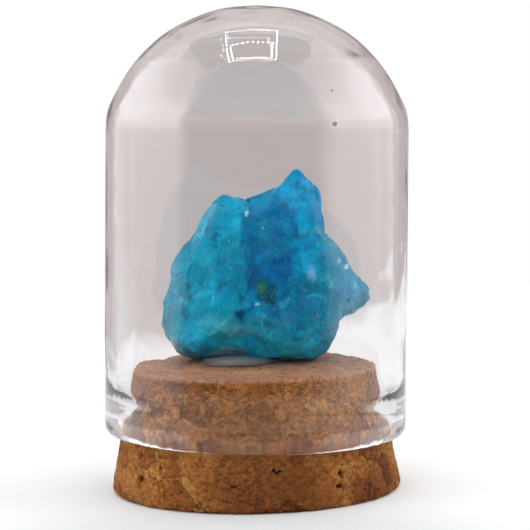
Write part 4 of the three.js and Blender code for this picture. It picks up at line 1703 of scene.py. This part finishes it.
    def reflected(self, tree: bpy.types.NodeTree, ray: bpy.types.Node) -> bpy.types.Node:
        """What gloss and glass see: bright sides, a grey back, a pale ceiling and a low dark front opening.

        Args:
            tree: The world's tree.
            ray: The direction looked in, split into X, Y and Z.

        Returns:
            The brightness in that direction.
        """
        up = ray.outputs["Z"]
        level = self.level(tree, ray)
        towards = add(tree, "ShaderNodeVectorMath", {0: level, 1: (0.0, -1.0, 0.0)}, operation="DOT_PRODUCT")
        towards = towards.outputs["Value"]
        opening = [math.cos(math.radians(self.front_opening + a)) for a in (8.0, -4.0)]
        front = add(tree, "ShaderNodeMapRange", {0: towards, **between((opening[0], opening[1]))},
                    interpolation_type="SMOOTHSTEP")
        # The sides: paper below, a low band, a high band that is dimmer at the far end, and the top.
        low = add(tree, "ShaderNodeMapRange",
                  {0: up, **between(self.low_rise), 3: self.low_side, 4: self.side_wall})
        on_paper = add(tree, "ShaderNodeMapRange", {0: up, **between(self.paper_rise)})
        low = add(tree, "ShaderNodeMix", {0: on_paper, "A": low, "B": self.paper})
        is_high = add(tree, "ShaderNodeMapRange", {0: up, **between(self.high_rise), 3: 0.0, 4: 1.0},
                      interpolation_type="SMOOTHSTEP")
        high = add(tree, "ShaderNodeMapRange",
                   {0: towards, **between(self.far_turn), 3: self.high_side, 4: self.far_side})
        side = add(tree, "ShaderNodeMix", {0: is_high, "A": low, "B": high})
        on_top = add(tree, "ShaderNodeMapRange", {0: up, **between(self.top_rise)})
        side = add(tree, "ShaderNodeMix", {0: on_top, "A": side, "B": self.top_side})
        # The front: the dark opening, brighter upwards, with a dim place overhead and the paper below it.
        opened = add(tree, "ShaderNodeMapRange",
                     {0: up, **between(self.front_rise), 3: self.dark, 4: self.front_high},
                     interpolation_type="SMOOTHSTEP")
        overhead = add(tree, "ShaderNodeMapRange", {0: up, **between(self.overhead_rise)})
        opened = add(tree, "ShaderNodeMix", {0: overhead, "A": opened, "B": self.overhead_gloom})
        near = add(tree, "ShaderNodeMapRange",
                   {0: up, **between(self.near_paper_rise), 3: self.near_paper, 4: 0.0})
        opened = add(tree, "ShaderNodeMath", {0: opened, 1: near})
        light = add(tree, "ShaderNodeMix", {0: front, "A": side, "B": opened})
        # The back wall, and the paper below it.
        back = add(tree, "ShaderNodeMapRange",
                   {0: up, **between(self.back_high_rise), 3: self.back_wall, 4: self.back_high})
        below = add(tree, "ShaderNodeMapRange", {0: up, **between(self.back_paper_rise)})
        back = add(tree, "ShaderNodeMix", {0: below, "A": back, "B": self.paper})
        light = add(tree, "ShaderNodeMix", {0: self.behind(tree, level), "A": light, "B": back})
        # The ceiling starts higher over the front.
        start = add(tree, "ShaderNodeMix", {0: front, "A": self.ceiling_rise[0], "B": self.ceiling_rise[1]})
        end = add(tree, "ShaderNodeMath", {0: start, 1: self.ceiling_soft})
        above = add(tree, "ShaderNodeMapRange", {0: up, 1: start, 2: end})
        return add(tree, "ShaderNodeMix", {0: above, "A": light, "B": self.ceiling})

    def tent(self) -> None:
        """Makes the world: white to the camera, a tent to gloss and glass, soft light to matt surfaces."""
        world = bpy.data.worlds.new("light_tent")
        bpy.context.scene.world = world
        world.use_nodes = True
        tree = world.node_tree
        tree.nodes.clear()
        ray = add(tree, "ShaderNodeSeparateXYZ", {0: add(tree, "ShaderNodeTexCoord").outputs["Generated"]})
        path = add(tree, "ShaderNodeLightPath")
        behind = self.behind(tree, self.level(tree, ray))
        hue = add(tree, "ShaderNodeMix",
                  {"Factor": behind, "A": linear(self.side_tone), "B": linear(self.back_tone)},
                  data_type="RGBA")
        seen = add(tree, "ShaderNodeBackground", {"Color": hue, "Strength": self.reflected(tree, ray)})
        across = add(tree, "ShaderNodeCombineXYZ", {1: ray.outputs["Y"], 2: ray.outputs["Z"]})
        facing = add(tree, "ShaderNodeVectorMath", {0: across, 1: (0.0, self.key_lean, 1.0)},
                     operation="DOT_PRODUCT").outputs["Value"]
        overhead = add(tree, "ShaderNodeMapRange",
                       {0: facing, **between(self.key_range), 3: self.key_least, 4: self.key_most},
                       interpolation_type="SMOOTHSTEP")
        front = add(tree, "ShaderNodeMapRange",
                    {0: ray.outputs["Y"], **between(self.key_front_turn), 3: self.key_front, 4: 1.0},
                    interpolation_type="SMOOTHSTEP")
        lit = add(tree, "ShaderNodeMath", {0: overhead, 1: self.key}, operation="MULTIPLY")
        lit = add(tree, "ShaderNodeMath", {0: lit, 1: front}, operation="MULTIPLY")
        soft = add(tree, "ShaderNodeBackground", {"Color": (1.0, 1.0, 1.0, 1.0), "Strength": lit})
        bounced = add(tree, "ShaderNodeMath", {0: path.outputs["Diffuse Depth"], 1: 0.5},
                      operation="GREATER_THAN")
        light = add(tree, "ShaderNodeMixShader", {0: bounced, 1: seen, 2: soft})
        white = add(tree, "ShaderNodeBackground", {"Color": (1.0, 1.0, 1.0, 1.0), "Strength": 1.0})
        both = add(tree, "ShaderNodeMixShader", {0: path.outputs["Is Camera Ray"], 1: light, 2: white})
        add(tree, "ShaderNodeOutputWorld", {"Surface": both})

    def floor(self) -> None:
        """Lays a pale sheet that ends softly all round."""
        material, tree = new_material("pale_paper_sheet")
        here = add(tree, "ShaderNodeTexCoord").outputs["Object"]
        place = add(tree, "ShaderNodeSeparateXYZ", {0: here})
        x, y = place.outputs["X"], place.outputs["Y"]
        sideways = add(tree, "ShaderNodeMath", {0: x}, operation="ABSOLUTE")
        slanted = add(tree, "ShaderNodeMath", {0: x, 1: -self.floor_slant, 2: y}, operation="MULTIPLY_ADD")
        kept = 1.0
        for value, end, fade in (
            (sideways, self.floor_side, self.floor_side_fade),
            (slanted, self.floor_back, self.floor_back_fade),
            (y, self.floor_front, -self.floor_front_fade),
        ):
            share = add(tree, "ShaderNodeMapRange", {0: value, **between_mm((end, end - fade))},
                        interpolation_type="SMOOTHSTEP")
            kept = add(tree, "ShaderNodeMath", {0: kept, 1: share}, operation="MULTIPLY")
        # Painted shade: the sheet seen through the glass is a darker copy of it.
        through = add(tree, "ShaderNodeLightPath").outputs["Transmission Depth"]
        through = add(tree, "ShaderNodeMath", {0: through, 1: 0.5}, operation="GREATER_THAN")
        tone = add(tree, "ShaderNodeMix",
                   {"Factor": through, "A": self.sheet_lit, "B": self.sheet_through_glass}, data_type="RGBA")
        # The sheet is a little dimmer close in front of the plug and paler on its right.
        for patch in (self.near_shade, self.right_light):
            felt = Spot(patch.centre, patch.reach).felt(tree, here, patch.edge)
            share = add(tree, "ShaderNodeMath", {0: felt, 1: patch.strength}, operation="MULTIPLY")
            tone = add(tree, "ShaderNodeMix", {"Factor": share, "A": tone, "B": linear(patch.colour)},
                       data_type="RGBA")
        paper = add(tree, "ShaderNodeBsdfDiffuse", {"Color": tone})
        clear = add(tree, "ShaderNodeBsdfTransparent")
        both = add(tree, "ShaderNodeMixShader", {0: kept, 1: clear, 2: paper})
        add(tree, "ShaderNodeOutputMaterial", {"Surface": both})
        mesh = bpy.data.meshes.new("floor")
        side, near, far = self.floor_side, self.floor_front, self.floor_back + self.floor_side
        corners = [(-side, near, 0), (side, near, 0), (side, far, 0), (-side, far, 0)]
        mesh.from_pydata([mm_point(corner) for corner in corners], [], [(0, 1, 2, 3)])
        mesh.materials.append(material)
        sheet = bpy.data.objects.new("floor", mesh)
        bpy.context.scene.collection.objects.link(sheet)

    def only_in_gloss(self, name: str, strength: float) -> bpy.types.Material:
        """Makes a glow that gloss and glass show and that lights nothing.

        Args:
            name: The material's name.
            strength: How bright it is.

        Returns:
            The material.
        """
        material, tree = new_material(name)
        path = add(tree, "ShaderNodeLightPath")
        bounced = add(tree, "ShaderNodeMath", {0: path.outputs["Diffuse Depth"], 1: 0.5},
                      operation="GREATER_THAN")
        glow = add(tree, "ShaderNodeEmission", {"Strength": strength})
        clear = add(tree, "ShaderNodeBsdfTransparent")
        both = add(tree, "ShaderNodeMixShader", {0: bounced, 1: glow, 2: clear})
        add(tree, "ShaderNodeOutputMaterial", {"Surface": both})
        material.cycles.emission_sampling = "NONE"
        return material

    def lamp_tree(self, glow: bpy.types.Material) -> bpy.types.NodeTree:
        """Sets small lamps evenly round a rectangle that widens towards the front.

        Args:
            glow: The lamps' material.

        Returns:
            A tree with the inputs Count, Width, Depth, Taper, Size and Long.
        """
        tree, given = new_tree("lamp_frame", Count=40, Width=mm(150), Depth=mm(200), Taper=0.1,
                               Size=mm(self.lamp_size), Long=self.lamp_long)
        square = add(tree, "GeometryNodeCurvePrimitiveQuadrilateral", {"Width": 1.0, "Height": 1.0})
        points = add(tree, "GeometryNodeCurveToPoints", {"Curve": square, "Count": given.outputs["Count"]})
        place = add(tree, "ShaderNodeSeparateXYZ", {0: add(tree, "GeometryNodeInputPosition")})
        narrow = add(tree, "ShaderNodeMath", {0: place.outputs["Y"], 1: given.outputs["Taper"]},
                     operation="MULTIPLY")
        wide = add(tree, "ShaderNodeMath", {0: 1.0, 1: narrow}, operation="SUBTRACT")
        wide = add(tree, "ShaderNodeMath", {0: wide, 1: given.outputs["Width"]}, operation="MULTIPLY")
        x = add(tree, "ShaderNodeMath", {0: place.outputs["X"], 1: wide}, operation="MULTIPLY")
        y = add(tree, "ShaderNodeMath", {0: place.outputs["Y"], 1: given.outputs["Depth"]},
                operation="MULTIPLY")
        spread = add(tree, "GeometryNodeSetPosition",
                     {"Geometry": points, "Position": add(tree, "ShaderNodeCombineXYZ", {0: x, 1: y})})
        long = add(tree, "ShaderNodeMath", {0: given.outputs["Size"], 1: given.outputs["Long"]},
                   operation="MULTIPLY")
        lamp = add(tree, "GeometryNodeMeshGrid",
                   {"Size X": given.outputs["Size"], "Size Y": long, "Vertices X": 2, "Vertices Y": 2})
        lamps = add(tree, "GeometryNodeInstanceOnPoints", {"Points": spread, "Instance": lamp})
        return close_tree(tree, lamps, glow)

    def bar_tree(self, dull: bpy.types.Material) -> bpy.types.NodeTree:
        """Makes the flat bar behind the lamps.

        Args:
            dull: The bar's material.

        Returns:
            A tree with the inputs Width and Depth.
        """
        tree, given = new_tree("lamp_bar", Width=mm(400), Depth=mm(250))
        width, depth = given.outputs["Width"], given.outputs["Depth"]
        sheet = add(tree, "GeometryNodeMeshGrid",
                    {"Size X": width, "Size Y": depth, "Vertices X": 2, "Vertices Y": 2})
        return close_tree(tree, sheet, dull)

    def hang(self, part: LampPart, tree: bpy.types.NodeTree, above: float, **sizes: float | int) -> None:
        """Hangs one part of the lamp where only gloss and glass show it.

        Args:
            part: The part.
            tree: The tree that makes it.
            above: How far over the lamps it hangs, in mm.
            **sizes: Values for the tree's inputs beside Width and Depth.
        """
        h = self.lamp_height
        piece = grow(part.name, bpy.data.meshes.new(part.name), tree, Width=mm(part.width * h),
                     Depth=mm(part.depth * h), **sizes)
        piece.location = mm_point((self.lamp_aside, part.back * h, self.crown_height + h + above))
        piece.visible_camera = False
        piece.visible_shadow = False

    def lamp(self) -> None:
        """Hangs the lamp over the dome: two frames of small lamps under a dull bar."""
        lit = self.lamp_tree(self.only_in_gloss("lit", self.lamp_glow))
        for part in self.frames:
            self.hang(part, lit, 0.0, Count=part.count, Taper=part.taper)
        dull = self.bar_tree(self.only_in_gloss("dull", self.bar_glow))
        self.hang(self.bar, dull, self.bar_above)

    def build(self) -> None:
        """Sets up the camera, the light and the floor."""
        self.camera()
        self.tent()
        self.floor()
        self.lamp()
        bpy.context.scene.view_settings.view_transform = "Standard"


def main() -> None:
    """Builds the studio and then every piece, and writes how large the result is."""
    logging.basicConfig(level=logging.INFO, format="%(name)s: %(message)s")
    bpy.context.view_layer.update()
    Studio().build()
    CorkPlug(PressedCork()).build()
    GlueDab(SetGlue()).build()
    OpalStone(BlueOpal()).build()
    GlassDome(ClearGlass()).build()
    LooseCork(CorkDust()).build()


if __name__ == "__main__":
    main()
